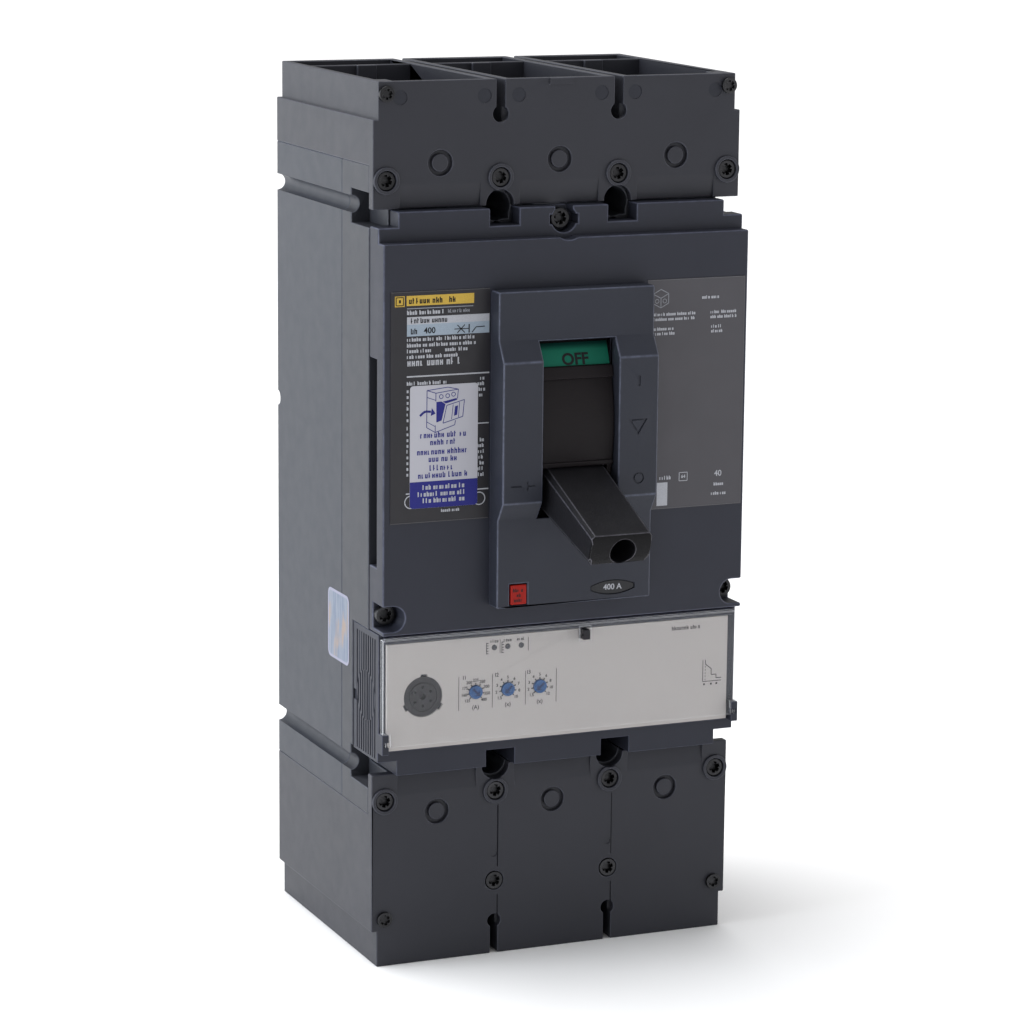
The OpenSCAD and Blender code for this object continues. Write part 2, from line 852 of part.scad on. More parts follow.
module upper_arc_chutes() {
    for (x = pole_x)
        arc_chute(x, [8, 39.5], [59, 80], 1);
}

module lower_arc_chutes() {
    for (x = pole_x)
        arc_chute(x, [29, 62], [-43, -13], -1);
}

module current_transformers() {
    z = [-80, -54];
    for (x = pole_x) {
        color("#2f3136")
            difference() {
                block([x - 18, x + 18], [8, 46], z);
                block([x - 11, x + 11], [20, 30.5], [z[0] - 1, z[1] + 1]);
            }
        color("#a5602c")
            for (side = [-1, 1])
                post_rod(x + side * 14, 25, 3, [z[1], z[1] + 3]);
    }
}

// A row of upright slots in the side of the trip unit
module vent_slots(start, slots, pitch) {
    for (i = [0:slots - 1])
        block([half_w - 1.6, half_w], [start + i * pitch, start + i * pitch + 1], [-93.6, -50.4]);
}

module trip_housing() {
    wide = [-half_w + 0.4, half_w - 0.4];
    front = trip_face_d - 1.2;
    fins = 9;
    fin_pitch = 2.2;
    disc_at = [92, -72.6];
    color(case_dark)
        difference() {
            union() {
                block(wide, [79.4, front], [-91, trip_top]);
                block(wide, [79.4, strip_d], [-strip_z, -90]);
                block([-tongue_w / 2, tongue_w / 2], [79.4, strip_d], [-tongue_z, -strip_z]);
                both_sides()
                    block([half_w - 3, half_w - 0.4], [front - 1, 108], [-91, -83.7]);
                block([-68, 68], [front - 1, trip_face_d + 0.3], [-51.5, trip_top - 0.6]);
            }
            block([-66, 66], [78, front - 2.6], [-88, trip_top - 3]);
            both_sides() {
                block([mount_x - 5.5, mount_x + 5.5], [78, strip_d + 1], [-tongue_z - 1, -94]);
                difference() {
                    vent_slots(82.7, fins, fin_pitch);
                    cross_rod(disc_at, 9.05, [half_w - 2, half_w + 1]);
                }
                intersection() {
                    vent_slots(82.7 + fin_pitch / 2, fins - 1, fin_pitch);
                    cross_rod(disc_at, 8.95, [half_w - 2, half_w + 1]);
                }
                block([half_w - 1, half_w + 1], [79, 82.6], [-76.6, -72.8]);
                cross_rod(window_hinge, 1.1, [half_w - 3.5, half_w - 1.2]);
            }
            depth_rod(socket_x, dial_z, socket_d / 2, [front - 4, front + 1]);
            for (i = [0:2])
                depth_rod(dial_x + i * dial_pitch, dial_z, 1.3, [front - 4, front + 1]);
            post_rod(plunger_x, plunger_d, 1.3, [trip_top - 5, trip_top + 1]);
        }
}

module trip_front_plate() {
    color("#b5b0aa")
        difference() {
            block([-plate_w / 2, plate_w / 2 - 0.8], [trip_face_d - 1.2, trip_face_d], plate_z);
            depth_rod(socket_x, dial_z, socket_d / 2, [100, 110]);
            for (turn = [0, 120, 240])
                translate([socket_x, -trip_face_d, dial_z])
                    rotate([0, turn + 2, 0])
                        translate([-1.2, -3, socket_d / 2 - 1])
                            cube([2.4, 6, 1.8]);
            for (i = [0:2]) {
                depth_rod(dial_x + i * dial_pitch, dial_z, dial_d / 2 + 0.1, [100, 110]);
                depth_rod(-26 + i * 5.2, -56, 1, [100, 110]);
            }
            block([seal_x - 1.4, seal_x + 1.4], [100, 110], [-55.4, -50]);
        }
}

module test_socket() {
    back = trip_face_d - 4;
    color("#26272b")
        difference() {
            depth_rod(socket_x, dial_z, socket_d / 2 - 0.05, [back, trip_face_d - 0.4]);
            difference() {
                depth_rod(socket_x, dial_z, 5.4, [trip_face_d - 0.9, trip_face_d]);
                depth_rod(socket_x, dial_z, 4.9, [trip_face_d - 1, trip_face_d]);
            }
            depth_rod(socket_x, dial_z, 1.1, [back + 1, trip_face_d]);
            for (turn = [30:60:330])
                translate([socket_x + 3.4 * cos(turn), 0, dial_z + 3.4 * sin(turn)])
                    depth_rod(0, 0, 0.5, [back + 1, trip_face_d]);
        }
}

module status_lamps() {
    color("#3c3e42")
        for (i = [0:2])
            depth_rod(-26 + i * 5.2, -56, 0.95, [trip_face_d - 1.2, trip_face_d + 0.15]);
}

// A setting dial with an arrow slot, turned to its setting
module dial(i, setting) {
    x = dial_x + i * dial_pitch;
    color("#3f7fc4")
        difference() {
            union() {
                depth_rod(x, dial_z, dial_d / 2, [trip_face_d - 1, trip_face_d + 0.9]);
                depth_rod(x, dial_z, 1.2, [trip_face_d - 4, trip_face_d - 0.9]);
            }
            translate([x, -trip_face_d - 0.6, dial_z])
                rotate([90, 0, 0])
                    linear_extrude(1)
                        rotate([0, 0, -setting]) {
                            translate([-0.35, -1.8])
                                square([0.7, 2.9]);
                            polygon([[-1, 0.8], [1, 0.8], [0, 2]]);
                        }
        }
}

module pickup_dial() {
    dial(0, 135);
}

module delay_dial() {
    dial(1, 225);
}

module instantaneous_dial() {
    dial(2, 228);
}

// The clear window over the settings, hinged at its lower edge
module trip_window() {
    wall = 1.2;
    side = half_w - 0.4;
    color("#dfe6ec", 0.35)
        difference() {
            union() {
                difference() {
                    block([-side, side], [trip_face_d + 0.5, 108.4], [-83.5, -49.3]);
                    block([-side + wall, side - wall], [trip_face_d - 1, 108.4 - wall], [-84, -49.3 - wall]);
                }
                block([-66.8, 66.8], [108.4 - wall - 0.1, 108.4], [-88.2, -83]);
                both_sides()
                    cross_rod(window_hinge, 1.05, [65.5, 68.4]);
            }
            block([seal_x - 1.9, seal_x + 1.9], [105, 110], [-56, -50.6]);
        }
}

module seal_post() {
    color("#33363d")
        difference() {
            block([seal_x - 1.3, seal_x + 1.3], [trip_face_d - 1.2, 109.3], [-55.2, -51.6]);
            cross_rod([108.5, -53.4], 0.5, [seal_x - 2, seal_x + 2]);
        }
}

module circuit_board() {
    color("#1f5c3a")
        block([-62, 62], [97, 98.6], [-86, -54]);
    color("#26272b") {
        block([24, 40], [94.5, 97], [-80, -64]);
        for (i = [0:3])
            block([-56 + i * 14, -48 + i * 14], [95, 97], [-62, -57]);
    }
}

module trip_solenoid() {
    color("#b0a58c")
        difference() {
            union() {
                post_rod(plunger_x, plunger_d, 6, [-82, -54]);
                block([plunger_x - 8, plunger_x + 8], [plunger_d - 6.5, plunger_d + 6.5], [-84, -82]);
            }
            post_rod(plunger_x, plunger_d, 1.2, [-76, -53]);
        }
}

module solenoid_plunger() {
    color("#c3c5c8")
        post_rod(plunger_x, plunger_d, 1.1, [-74, -30.5]);
}

module trip_bar() {
    color("#c8b46a") {
        cross_rod(trip_bar_at, 2, [-25, 20]);
        block([button_x - 2, button_x + 2], [trip_bar_at[0] - 0.7, trip_bar_at[0] + 0.5], [-38, -25]);
        block([17.7, 19.6], [plunger_d - 3, trip_bar_at[0]], [-26, -24]);
    }
}

module trip_button() {
    w = button_size[0] / 2;
    h = button_size[1] / 2;
    color("#c23a2e") {
        block([button_x - w, button_x + w], [esc_d - 4, esc_d + 0.2], [button_z - h, button_z + h]);
        depth_rod(button_x, button_z, 1.9, [104.1, esc_d - 3]);
    }
}

// The return spring around the button's stem
module trip_button_spring() {
    color("#8d9094")
        difference() {
            depth_rod(button_x, button_z, 2.9, [face_d, esc_d - 4]);
            depth_rod(button_x, button_z, 2.1, [face_d - 1, esc_d]);
        }
}

rear_base();
middle_casing();
front_cover();
escutcheon();
upper_lug_cover();
lower_lug_cover();
upper_cover_screws();
lower_cover_screws();
front_cover_screws();
case_screws();
rating_label();
wiring_label();
instruction_sticker();
inspection_sticker();
rating_badge();
handle();
handle_shutter();
off_flag();
handle_yoke();
mechanism_plates();
mechanism_pins();
cradle();
upper_links();
lower_links();
main_springs();
contact_rotor();
rotor_pins();
contact_bridges();
line_bars();
load_bars();
line_lugs();
load_lugs();
lug_screws();
upper_arc_chutes();
lower_arc_chutes();
current_transformers();
trip_housing();
trip_front_plate();
test_socket();
status_lamps();
pickup_dial();
delay_dial();
instantaneous_dial();
trip_window();
seal_post();
circuit_board();
trip_solenoid();
solenoid_plunger();
trip_bar();
trip_button();
trip_button_spring();
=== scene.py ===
import json
import math
import random

import bmesh
import bpy
from mathutils import Matrix, Vector


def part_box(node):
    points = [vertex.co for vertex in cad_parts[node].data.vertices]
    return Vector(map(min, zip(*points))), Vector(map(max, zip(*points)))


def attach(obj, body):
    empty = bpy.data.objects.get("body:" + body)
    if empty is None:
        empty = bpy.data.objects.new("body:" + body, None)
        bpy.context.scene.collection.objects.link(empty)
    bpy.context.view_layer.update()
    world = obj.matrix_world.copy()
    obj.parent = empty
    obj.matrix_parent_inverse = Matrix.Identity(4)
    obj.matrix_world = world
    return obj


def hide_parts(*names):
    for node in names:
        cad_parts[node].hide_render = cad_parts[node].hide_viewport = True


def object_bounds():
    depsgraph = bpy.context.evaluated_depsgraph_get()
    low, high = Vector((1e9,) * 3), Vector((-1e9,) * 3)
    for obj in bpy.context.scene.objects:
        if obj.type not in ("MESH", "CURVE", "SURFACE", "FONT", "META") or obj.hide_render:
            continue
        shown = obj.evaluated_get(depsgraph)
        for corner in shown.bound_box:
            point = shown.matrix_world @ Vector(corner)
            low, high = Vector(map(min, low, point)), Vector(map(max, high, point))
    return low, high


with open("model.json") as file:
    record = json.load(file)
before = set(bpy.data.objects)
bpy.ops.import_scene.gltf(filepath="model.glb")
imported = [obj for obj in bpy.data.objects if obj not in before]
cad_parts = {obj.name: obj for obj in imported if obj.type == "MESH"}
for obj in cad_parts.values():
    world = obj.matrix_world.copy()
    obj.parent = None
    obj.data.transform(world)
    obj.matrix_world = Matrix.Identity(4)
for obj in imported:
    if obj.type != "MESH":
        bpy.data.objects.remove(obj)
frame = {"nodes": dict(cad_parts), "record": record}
cad_low, cad_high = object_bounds()
MM = 0.001


def at(x, depth, z):
    """A point from millimetres: X, depth towards the front, Z."""
    return Vector((x, -depth, z)) * MM


def span(node):
    """A node's X, depth and Z ranges in millimetres."""
    low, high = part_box(node)
    return ((low.x / MM, high.x / MM), (-high.y / MM, -low.y / MM), (low.z / MM, high.z / MM))


# ---------------------------------------------------------------- camera, light and floor

# The photo's viewpoint, in metres and degrees
CAMERA_PLACE = Vector((-0.5174, -1.2710, 0.2447))
AZIMUTH, ELEVATION, ROLL = (math.radians(a) for a in (-23.12, 11.25, 0.547))
FLOOR_REACH = 14


def make_camera():
    back = Vector((
        math.sin(AZIMUTH) * math.cos(ELEVATION),
        -math.cos(AZIMUTH) * math.cos(ELEVATION),
        math.sin(ELEVATION),
    ))
    level = Vector((math.cos(AZIMUTH), math.sin(AZIMUTH), 0))
    rise = back.cross(level)
    right = math.cos(ROLL) * level + math.sin(ROLL) * rise
    up = math.cos(ROLL) * rise - math.sin(ROLL) * level
    data = bpy.data.cameras.new("camera")
    data.lens = 128.75
    data.sensor_width = 36
    data.clip_start = 0.05
    data.clip_end = 60
    camera = bpy.data.objects.new("camera", data)
    camera.matrix_world = Matrix.Translation(CAMERA_PLACE) @ Matrix((
        (right.x, up.x, back.x, 0),
        (right.y, up.y, back.y, 0),
        (right.z, up.z, back.z, 0),
        (0, 0, 0, 1),
    ))
    bpy.context.scene.collection.objects.link(camera)
    bpy.context.scene.camera = camera


def soft_light(name, place, aim, size, power, tint=(1, 1, 1)):
    data = bpy.data.lights.new(name, "AREA")
    data.shape = "RECTANGLE"
    data.size, data.size_y = size
    data.energy = power
    data.color = tint
    light = bpy.data.objects.new(name, data)
    light.location = place
    light.rotation_euler = (Vector(aim) - Vector(place)).to_track_quat("-Z", "Y").to_euler()
    light.visible_camera = False
    bpy.context.scene.collection.objects.link(light)


def make_studio():
    scene = bpy.context.scene
    scene.view_settings.view_transform = "Standard"
    world = bpy.data.worlds.new("studio")
    world.use_nodes = True
    sky = world.node_tree.nodes["Background"]
    sky.inputs["Color"].default_value = (1, 1, 1, 1)
    # The sky lights the object softly, and the camera sees it as pale as the floor
    rays = world.node_tree.nodes.new("ShaderNodeLightPath")
    strength = world.node_tree.nodes.new("ShaderNodeMapRange")
    strength.inputs["To Min"].default_value = 0.46
    strength.inputs["To Max"].default_value = 1.0
    world.node_tree.links.new(rays.outputs["Is Camera Ray"], strength.inputs["Value"])
    world.node_tree.links.new(strength.outputs["Result"], sky.inputs["Strength"])
    scene.world = world
    overhead = bpy.data.objects.new("overhead", bpy.data.lights.new("overhead", "SUN"))
    overhead.data.energy = 2.8
    overhead.data.angle = math.radians(50)
    overhead.rotation_euler = (math.radians(-14), math.radians(-10), 0)
    scene.collection.objects.link(overhead)
    middle = (0, -0.05, 0)
    soft_light("back_left_panel", (-1.3, 1.7, 0.45), middle, (2.2, 1.7), 10, (0.9, 0.95, 1))
    soft_light("left_panel", (-1.9, 0.1, 0.5), middle, (1.2, 1.4), 31, (0.88, 0.94, 1))
    soft_light("front_right_fill", (1.15, -0.7, 0.35), middle, (0.5, 0.7), 3.6)
    bm = bmesh.new()
    bmesh.ops.create_grid(bm, x_segments=24, y_segments=24, size=FLOOR_REACH)
    mesh = bpy.data.meshes.new("floor")
    bm.to_mesh(mesh)
    bm.free()
    floor = bpy.data.objects.new("floor", mesh)
    floor.location.z = cad_low.z
    scene.collection.objects.link(floor)
    paint = bpy.data.materials.new("pale_floor")
    paint.use_nodes = True
    shader = paint.node_tree.nodes["Principled BSDF"]
    shader.inputs["Base Color"].default_value = (0.88, 0.88, 0.885, 1)
    shader.inputs["Roughness"].default_value = 0.8
    shader.inputs["Specular IOR Level"].default_value = 0.1
    mesh.materials.append(paint)


make_camera()
make_studio()

# ---------------------------------------------------------------- materials


class Finish:
    """Builds one node material, a step at a time."""

    def __init__(self, name):
        self.material = bpy.data.materials.new(name)
        self.material.use_nodes = True
        self.nodes = self.material.node_tree.nodes
        self.links = self.material.node_tree.links
        self.shader = self.nodes["Principled BSDF"]
        self.place = self.nodes.new("ShaderNodeTexCoord").outputs["Object"]

    def noise(self, scale, detail=3.0, rough=0.55, stretch=None):
        source = self.place
        if stretch:
            mapping = self.nodes.new("ShaderNodeMapping")
            mapping.inputs["Scale"].default_value = stretch
            self.links.new(source, mapping.inputs["Vector"])
            source = mapping.outputs["Vector"]
        node = self.nodes.new("ShaderNodeTexNoise")
        node.inputs["Scale"].default_value = scale
        node.inputs["Detail"].default_value = detail
        node.inputs["Roughness"].default_value = rough
        self.links.new(source, node.inputs["Vector"])
        return node.outputs["Fac"]

    def remap(self, value, low, high, start=0.3, stop=0.7):
        node = self.nodes.new("ShaderNodeMapRange")
        for name, number in (("From Min", start), ("From Max", stop), ("To Min", low), ("To Max", high)):
            node.inputs[name].default_value = number
        self.links.new(value, node.inputs["Value"])
        return node.outputs["Result"]

    def mix(self, amount, first, second):
        node = self.nodes.new("ShaderNodeMix")
        node.data_type = "RGBA"
        self.links.new(amount, node.inputs["Factor"])
        for socket, colour in (("A", first), ("B", second)):
            target = next(s for s in node.inputs if s.name == socket and s.type == "RGBA")
            if isinstance(colour, tuple):
                target.default_value = (*colour, 1)
            else:
                self.links.new(colour, target)
        return next(s for s in node.outputs if s.type == "RGBA")

    def product(self, first, second):
        node = self.nodes.new("ShaderNodeMath")
        node.operation = "MULTIPLY"
        self.links.new(first, node.inputs[0])
        if isinstance(second, float):
            node.inputs[1].default_value = second
        else:
            self.links.new(second, node.inputs[1])
        return node.outputs[0]

    def edge(self):
        """1 on the rounded edges that shell() makes, 0 elsewhere."""
        node = self.nodes.new("ShaderNodeAttribute")
        node.attribute_name = "edge"
        return node.outputs["Fac"]

    def bump(self, height, strength, depth):
        node = self.nodes.new("ShaderNodeBump")
        node.inputs["Strength"].default_value = strength
        node.inputs["Distance"].default_value = depth
        self.links.new(height, node.inputs["Height"])
        return node.outputs["Normal"]

    def set(self, **sockets):
        for name, value in sockets.items():
            socket = self.shader.inputs[name.replace("_", " ")]
            if isinstance(value, (int, float)):
                socket.default_value = value
            elif isinstance(value, tuple):
                socket.default_value = (*value, 1)
            else:
                self.links.new(value, socket)
        return self


def shade(colour, factor):
    return tuple(min(1.0, c * factor) for c in colour)


def plastic(
    name, colour, rough=0.42, grain=0.5, grain_scale=2400, mottle=0.05, wear_and_highlight_tone=3.0, wear_and_highlight_amount=0.9, gloss=0.25,
):
    """Moulded plastic: fine grain, faint flow clouds, and paler edges, partly rubbed wear and partly a
    painted highlight.
    """
    f = Finish(name)
    clouds = f.noise(28, 4)
    grains = f.noise(grain_scale, 3, 0.6)
    wear_and_highlight_mask = f.remap(f.noise(420, 3), wear_and_highlight_amount * 0.55, wear_and_highlight_amount, 0.4, 0.62)
    body = f.mix(f.remap(clouds, 0, 1), shade(colour, 1 - mottle), shade(colour, 1 + mottle))
    # The rounded edges turn paler: partly rubbed wear, partly a painted highlight.
    body = f.mix(f.product(f.edge(), wear_and_highlight_mask), body, shade(colour, wear_and_highlight_tone))
    f.set(Base_Color=body, Roughness=f.remap(f.noise(160, 3), rough - 0.02, rough + 0.03))
    f.set(Normal=f.bump(grains, grain, 0.00006), Specular_IOR_Level=gloss)
    return f.material


def metal(name, colour, rough=0.3, brush=(1, 1, 12), scratch=0.25, tarnish=0.75):
    """Bare or plated metal: brushed along one way, with cloudy tarnish and bright edges."""
    f = Finish(name)
    lines = f.noise(900, 3, 0.6, brush)
    clouds = f.remap(f.noise(60, 4), 0, 1, 0.35, 0.7)
    body = f.mix(clouds, colour, shade(colour, tarnish))
    body = f.mix(f.product(f.edge(), 0.6), body, shade(colour, 1.25))
    f.set(Base_Color=body, Metallic=1.0, Roughness=f.remap(lines, rough - 0.08, rough + 0.12))
    f.set(Normal=f.bump(lines, scratch, 0.00004))
    return f.material


def ink(name, colour, rough=0.5):
    """Printed ink: a thin film with tiny pinholes of tone."""
    f = Finish(name)
    body = f.mix(f.remap(f.noise(3000, 2), 0, 1), shade(colour, 0.9), shade(colour, 1.06))
    f.set(Base_Color=body, Roughness=f.remap(f.noise(700, 2), rough - 0.06, rough + 0.06))
    f.set(Normal=f.bump(f.noise(2600, 2), 0.1, 0.00002), Specular_IOR_Level=0.2)
    return f.material


def film(name, colour, rough=0.35, mottle=0.05, gloss=0.3):
    """Label stock: a smooth film with faint clouds and dust."""
    f = Finish(name)
    body = f.mix(f.remap(f.noise(45, 4), 0, 1), shade(colour, 1 - mottle), shade(colour, 1 + mottle))
    f.set(Base_Color=body, Roughness=f.remap(f.noise(220, 3), rough - 0.06, rough + 0.08))
    f.set(Normal=f.bump(f.noise(3200, 2), 0.12, 0.00003), Specular_IOR_Level=gloss)
    return f.material


def clear_plastic(name, body, rim):
    """Clear moulded plastic: see-through faces with faint rubbing, and pale, more opaque edges that are a
    painted highlight.
    """
    f = Finish(name)
    haze = f.remap(f.noise(900, 3), body * 0.85, body * 1.15)
    add = f.nodes.new("ShaderNodeMath")
    add.operation = "ADD"
    f.links.new(haze, add.inputs[0])
    # Edges get more opacity and a paler tint: a painted highlight.
    f.links.new(f.product(f.edge(), rim), add.inputs[1])
    tint = f.mix(f.edge(), (0.74, 0.76, 0.80), (0.95, 0.96, 1.0))
    f.set(Base_Color=tint, Alpha=add.outputs[0], IOR=1.49, Specular_IOR_Level=0.5)
    f.set(Roughness=f.remap(f.noise(1400, 3), 0.05, 0.12))
    return f.material


def foil(name):
    """Holographic film: upright bands that drift between cool and warm greys, a painted stand-in for its
    iridescent sheen.
    """
    f = Finish(name)
    # The cool and warm tones are a painted reflection of the foil's iridescent sheen.
    painted_sheen_bands = f.remap(f.noise(190, 3, 0.6, (1, 3.0, 0.25)), 0, 1, 0.38, 0.62)
    body = f.mix(painted_sheen_bands, (0.145, 0.175, 0.235), (0.215, 0.235, 0.275))
    painted_warm_sheen = f.remap(f.noise(70, 2, 0.5, (1, 2.2, 0.9)), 0, 1, 0.54, 0.66)
    body = f.mix(painted_warm_sheen, body, (0.27, 0.215, 0.185))
    f.set(Base_Color=body, Roughness=f.remap(f.noise(500, 2), 0.42, 0.5), Specular_IOR_Level=0.12)
    f.set(Normal=f.bump(f.noise(1500, 2), 0.1, 0.00003))
    return f.material


# Heights in millimetres between which a painted shadow of the cover fades in on the flag
FLAG_SHADE = (50.4, 52.2)


def flag_plastic(name, colour, shadow):
    """Moulded flag: coloured below, with a painted shadow of the cover above the line."""
    f = Finish(name)
    axes = f.nodes.new("ShaderNodeSeparateXYZ")
    f.links.new(f.place, axes.inputs["Vector"])
    painted_shadow_fade = f.remap(axes.outputs["Z"], 0, 1, FLAG_SHADE[0] * MM, FLAG_SHADE[1] * MM)
    body = f.mix(f.remap(f.noise(28, 4), 0, 1), shade(colour, 0.93), shade(colour, 1.07))
    body = f.mix(painted_shadow_fade, body, shadow)
    f.set(Base_Color=body, Roughness=f.remap(f.noise(160, 3), 0.38, 0.44))
    f.set(Normal=f.bump(f.noise(2400, 3), 0.2, 0.00006), Specular_IOR_Level=0.12)
    return f.material


FINISH = {
    "case": plastic("case_plastic", (0.0285, 0.0320, 0.0420), rough=0.42, mottle=0.02),
    "mid_case": plastic("mid_case_plastic", (0.0300, 0.0320, 0.0395), rough=0.42, mottle=0.02),
    "cover": plastic("cover_plastic", (0.0215, 0.0234, 0.0345), rough=0.45, wear_and_highlight_tone=4.0, wear_and_highlight_amount=1.0),
    "lug_cover": plastic("lug_cover_plastic", (0.0275, 0.0285, 0.0365), rough=0.42, wear_and_highlight_tone=2.6),
    "ejector": plastic("ejector_mark", (0.0200, 0.0215, 0.0300), rough=0.36, wear_and_highlight_tone=1.3),
    "escutcheon": plastic("escutcheon_plastic", (0.0240, 0.0265, 0.0375), rough=0.42, wear_and_highlight_tone=4.0, wear_and_highlight_amount=1.0),
    # The handle and its tip get far paler edges: mostly a painted highlight.
    "black": plastic(
        "handle_plastic", (0.0078, 0.0076, 0.0094),
        rough=0.34, grain=1.0, grain_scale=1000, wear_and_highlight_tone=9.0, gloss=0.3,
    ),
    "tip": plastic(
        "handle_tip_plastic", (0.0055, 0.0053, 0.0062),
        rough=0.26, grain=0.2, wear_and_highlight_tone=22.0, wear_and_highlight_amount=1.0, gloss=0.12,
    ),
    "shutter": plastic("shutter_plastic", (0.0090, 0.0072, 0.0084), rough=0.5, wear_and_highlight_tone=2.4, gloss=0.15),
    # The flag's second colour is its painted shadow.
    "green": flag_plastic("flag_green", (0.008, 0.125, 0.080), (0.002, 0.030, 0.024)),
    "red": plastic("button_red", (0.28, 0.011, 0.007), rough=0.4, grain=0.25, wear_and_highlight_tone=1.3, gloss=0.15),
    "blue": plastic("dial_blue", (0.022, 0.082, 0.225), rough=0.36, grain=0.2, wear_and_highlight_tone=1.3, gloss=0.15),
    "beige": plastic("plate_beige", (0.420, 0.398, 0.390), rough=0.5, grain=0.3, mottle=0.02, wear_and_highlight_tone=1.1),
    "socket": plastic("socket_plastic", (0.020, 0.019, 0.023), rough=0.4, wear_and_highlight_tone=1.8, gloss=0.2),
    "resin": plastic("rotor_resin", (0.20, 0.055, 0.035), rough=0.5, wear_and_highlight_tone=1.4),
    "gold_resin": plastic("trip_bar_resin", (0.46, 0.35, 0.12), rough=0.45, wear_and_highlight_tone=1.3),
    "fibre": plastic("chute_fibre", (0.46, 0.36, 0.22), rough=0.75, grain=1.0, grain_scale=1100, mottle=0.2),
    "transformer": plastic("transformer_plastic", (0.018, 0.020, 0.024), rough=0.5),
    "tape": plastic("coil_tape", (0.40, 0.32, 0.18), rough=0.55, grain=0.8, grain_scale=800, mottle=0.15),
    "board": plastic("board_green", (0.014, 0.085, 0.038), rough=0.35, grain=0.3, wear_and_highlight_tone=1.4),
    "chip": plastic("chip_black", (0.012, 0.012, 0.013), rough=0.45),
    "lamp": plastic("lamp_lens", (0.055, 0.057, 0.066), rough=0.15, grain=0.05, wear_and_highlight_tone=1.2),
    "screw": metal("black_zinc", (0.05, 0.05, 0.053), rough=0.34, brush=(1, 1, 1), scratch=0.4, tarnish=0.5),
    "steel": metal("zinc_steel", (0.56, 0.57, 0.58)),
    "plate_steel": metal("chute_steel", (0.40, 0.40, 0.41), rough=0.4),
    "spring": metal("spring_steel", (0.34, 0.35, 0.36), rough=0.28),
    "copper": metal("copper", (0.80, 0.40, 0.24), rough=0.32, tarnish=0.6),
    "silver": metal("silver_tip", (0.82, 0.82, 0.80), rough=0.35, brush=(1, 1, 1)),
    "aluminium": metal("tinned_aluminium", (0.72, 0.73, 0.75), rough=0.38, brush=(8, 1, 1)),
    "label_dark": film("label_film_dark", (0.0195, 0.0186, 0.0226)),
    "label_grey": film("label_film_grey", (0.0640, 0.0620, 0.0710)),
    "sticker": film("sticker_paper", (0.44, 0.44, 0.49), 0.55, 0.02),
    "rim": film("seal_rim", (0.27, 0.27, 0.34), 0.5, 0.02, 0.1),
    "foil": foil("foil_film"),
    "badge": film("badge_film", (0.014, 0.0145, 0.0175), 0.3),
    "clear": clear_plastic("clear_cover", 0.035, 0.45),
    "clear_wall": clear_plastic("clear_cover_wall", 0.12, 0.55),
    "white_ink": ink("white_ink", (0.40, 0.41, 0.45)),
    "grey_ink": ink("grey_ink", (0.25, 0.26, 0.29)),
    # Pale lines on the labels' edges: painted highlights where light catches the film's cut edges.
    "painted_edge_highlight": ink("painted_edge_highlight", (0.075, 0.074, 0.082)),
    "painted_rim_highlight": ink("painted_rim_highlight", (0.120, 0.118, 0.128)),
    "band_ink": ink("band_ink", (0.29, 0.35, 0.42)),
    "dark_ink": ink("dark_ink", (0.008, 0.008, 0.010)),
    "plate_ink": ink("plate_ink", (0.032, 0.031, 0.034)),
    "blue_ink": ink("blue_ink", (0.020, 0.022, 0.180)),
    "arrow_ink": ink("arrow_ink", (0.010, 0.030, 0.100)),
    "amber_ink": ink("amber_ink", (0.52, 0.35, 0.060)),
    "red_ink": ink("red_ink", (0.30, 0.020, 0.016)),
}

# ---------------------------------------------------------------- shells: CAD shapes with rounded edges

BODY_OF = {node: body for body, nodes in frame["record"]["behaviour"]["bodies"].items() for node in nodes}
SHARP = math.radians(28)
ROOM = 2.3  # how many widths a face must reach from an edge that is rounded


def roomy(edge, width):
    """Whether both faces beside an edge reach far enough for a round of this width."""
    start = edge.verts[0].co
    along = (edge.verts[1].co - start).normalized()
    for face in edge.link_faces:
        inward = face.normal.cross(along)
        if max(abs((v.co - start).dot(inward)) for v in face.verts) < ROOM * width:
            return False
    return True


def middle_of(edge):
    """The middle of an edge as X, depth and Z in millimetres."""
    middle = (edge.verts[0].co + edge.verts[1].co) / 2 / MM
    return middle.x, -middle.y, middle.z


def add_piece(name, bm, materials, body, replaced=None):
    """Turns a finished bmesh into a visible piece on its body."""
    mesh = bpy.data.meshes.new(name)
    bm.to_mesh(mesh)
    bm.free()
    for material in materials:
        mesh.materials.append(material)
    piece = bpy.data.objects.new(name, mesh)
    bpy.context.scene.collection.objects.link(piece)
    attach(piece, body)
    if replaced:
        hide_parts(replaced)
    return piece


def smooth_normals(piece):
    piece.data.shade_smooth()
    piece.data.set_sharp_from_angle(angle=math.radians(35))
    weighted = piece.modifiers.new("normals", "WEIGHTED_NORMAL")
    weighted.weight = 90
    weighted.keep_sharp = True


PIVOT = (50.0, 23.2)  # the handle pivot's depth and Z
PITCH = 45  # between poles


def from_pole(x):
    """The distance across from the middle of the nearest pole."""
    return abs((abs(x) + PITCH / 2) % PITCH - PITCH / 2)


# Each of the next functions says whether a face at this place, in millimetres, is of that kind


def is_tip(x, depth, z):
    return math.hypot(depth - PIVOT[0], z - PIVOT[1]) > 109.9 and depth > 148


def is_silver(x, depth, z):
    return from_pole(x) < 4.05 and not (depth < 27.1 and z > 0) and (
        38.7 < depth < 41.05 or 26.95 < depth < 29.4)


def is_chip(x, depth, z):
    return depth < 96.95


def is_winding(x, depth, z):
    return z > -54.0


def is_plate(x, depth, z):
    return from_pole(x) < 16.3


def is_wall(x, depth, z):
    return abs(x) > 69.5 or z > -49.4


def is_ejector(x, depth, z):
    return 98.5 < depth < 98.7 and 136 < z < 142


def is_vent(x, depth, z):
    return abs(x) > 67.5 and 80 < depth < 103 and -94.2 < z < -49.8


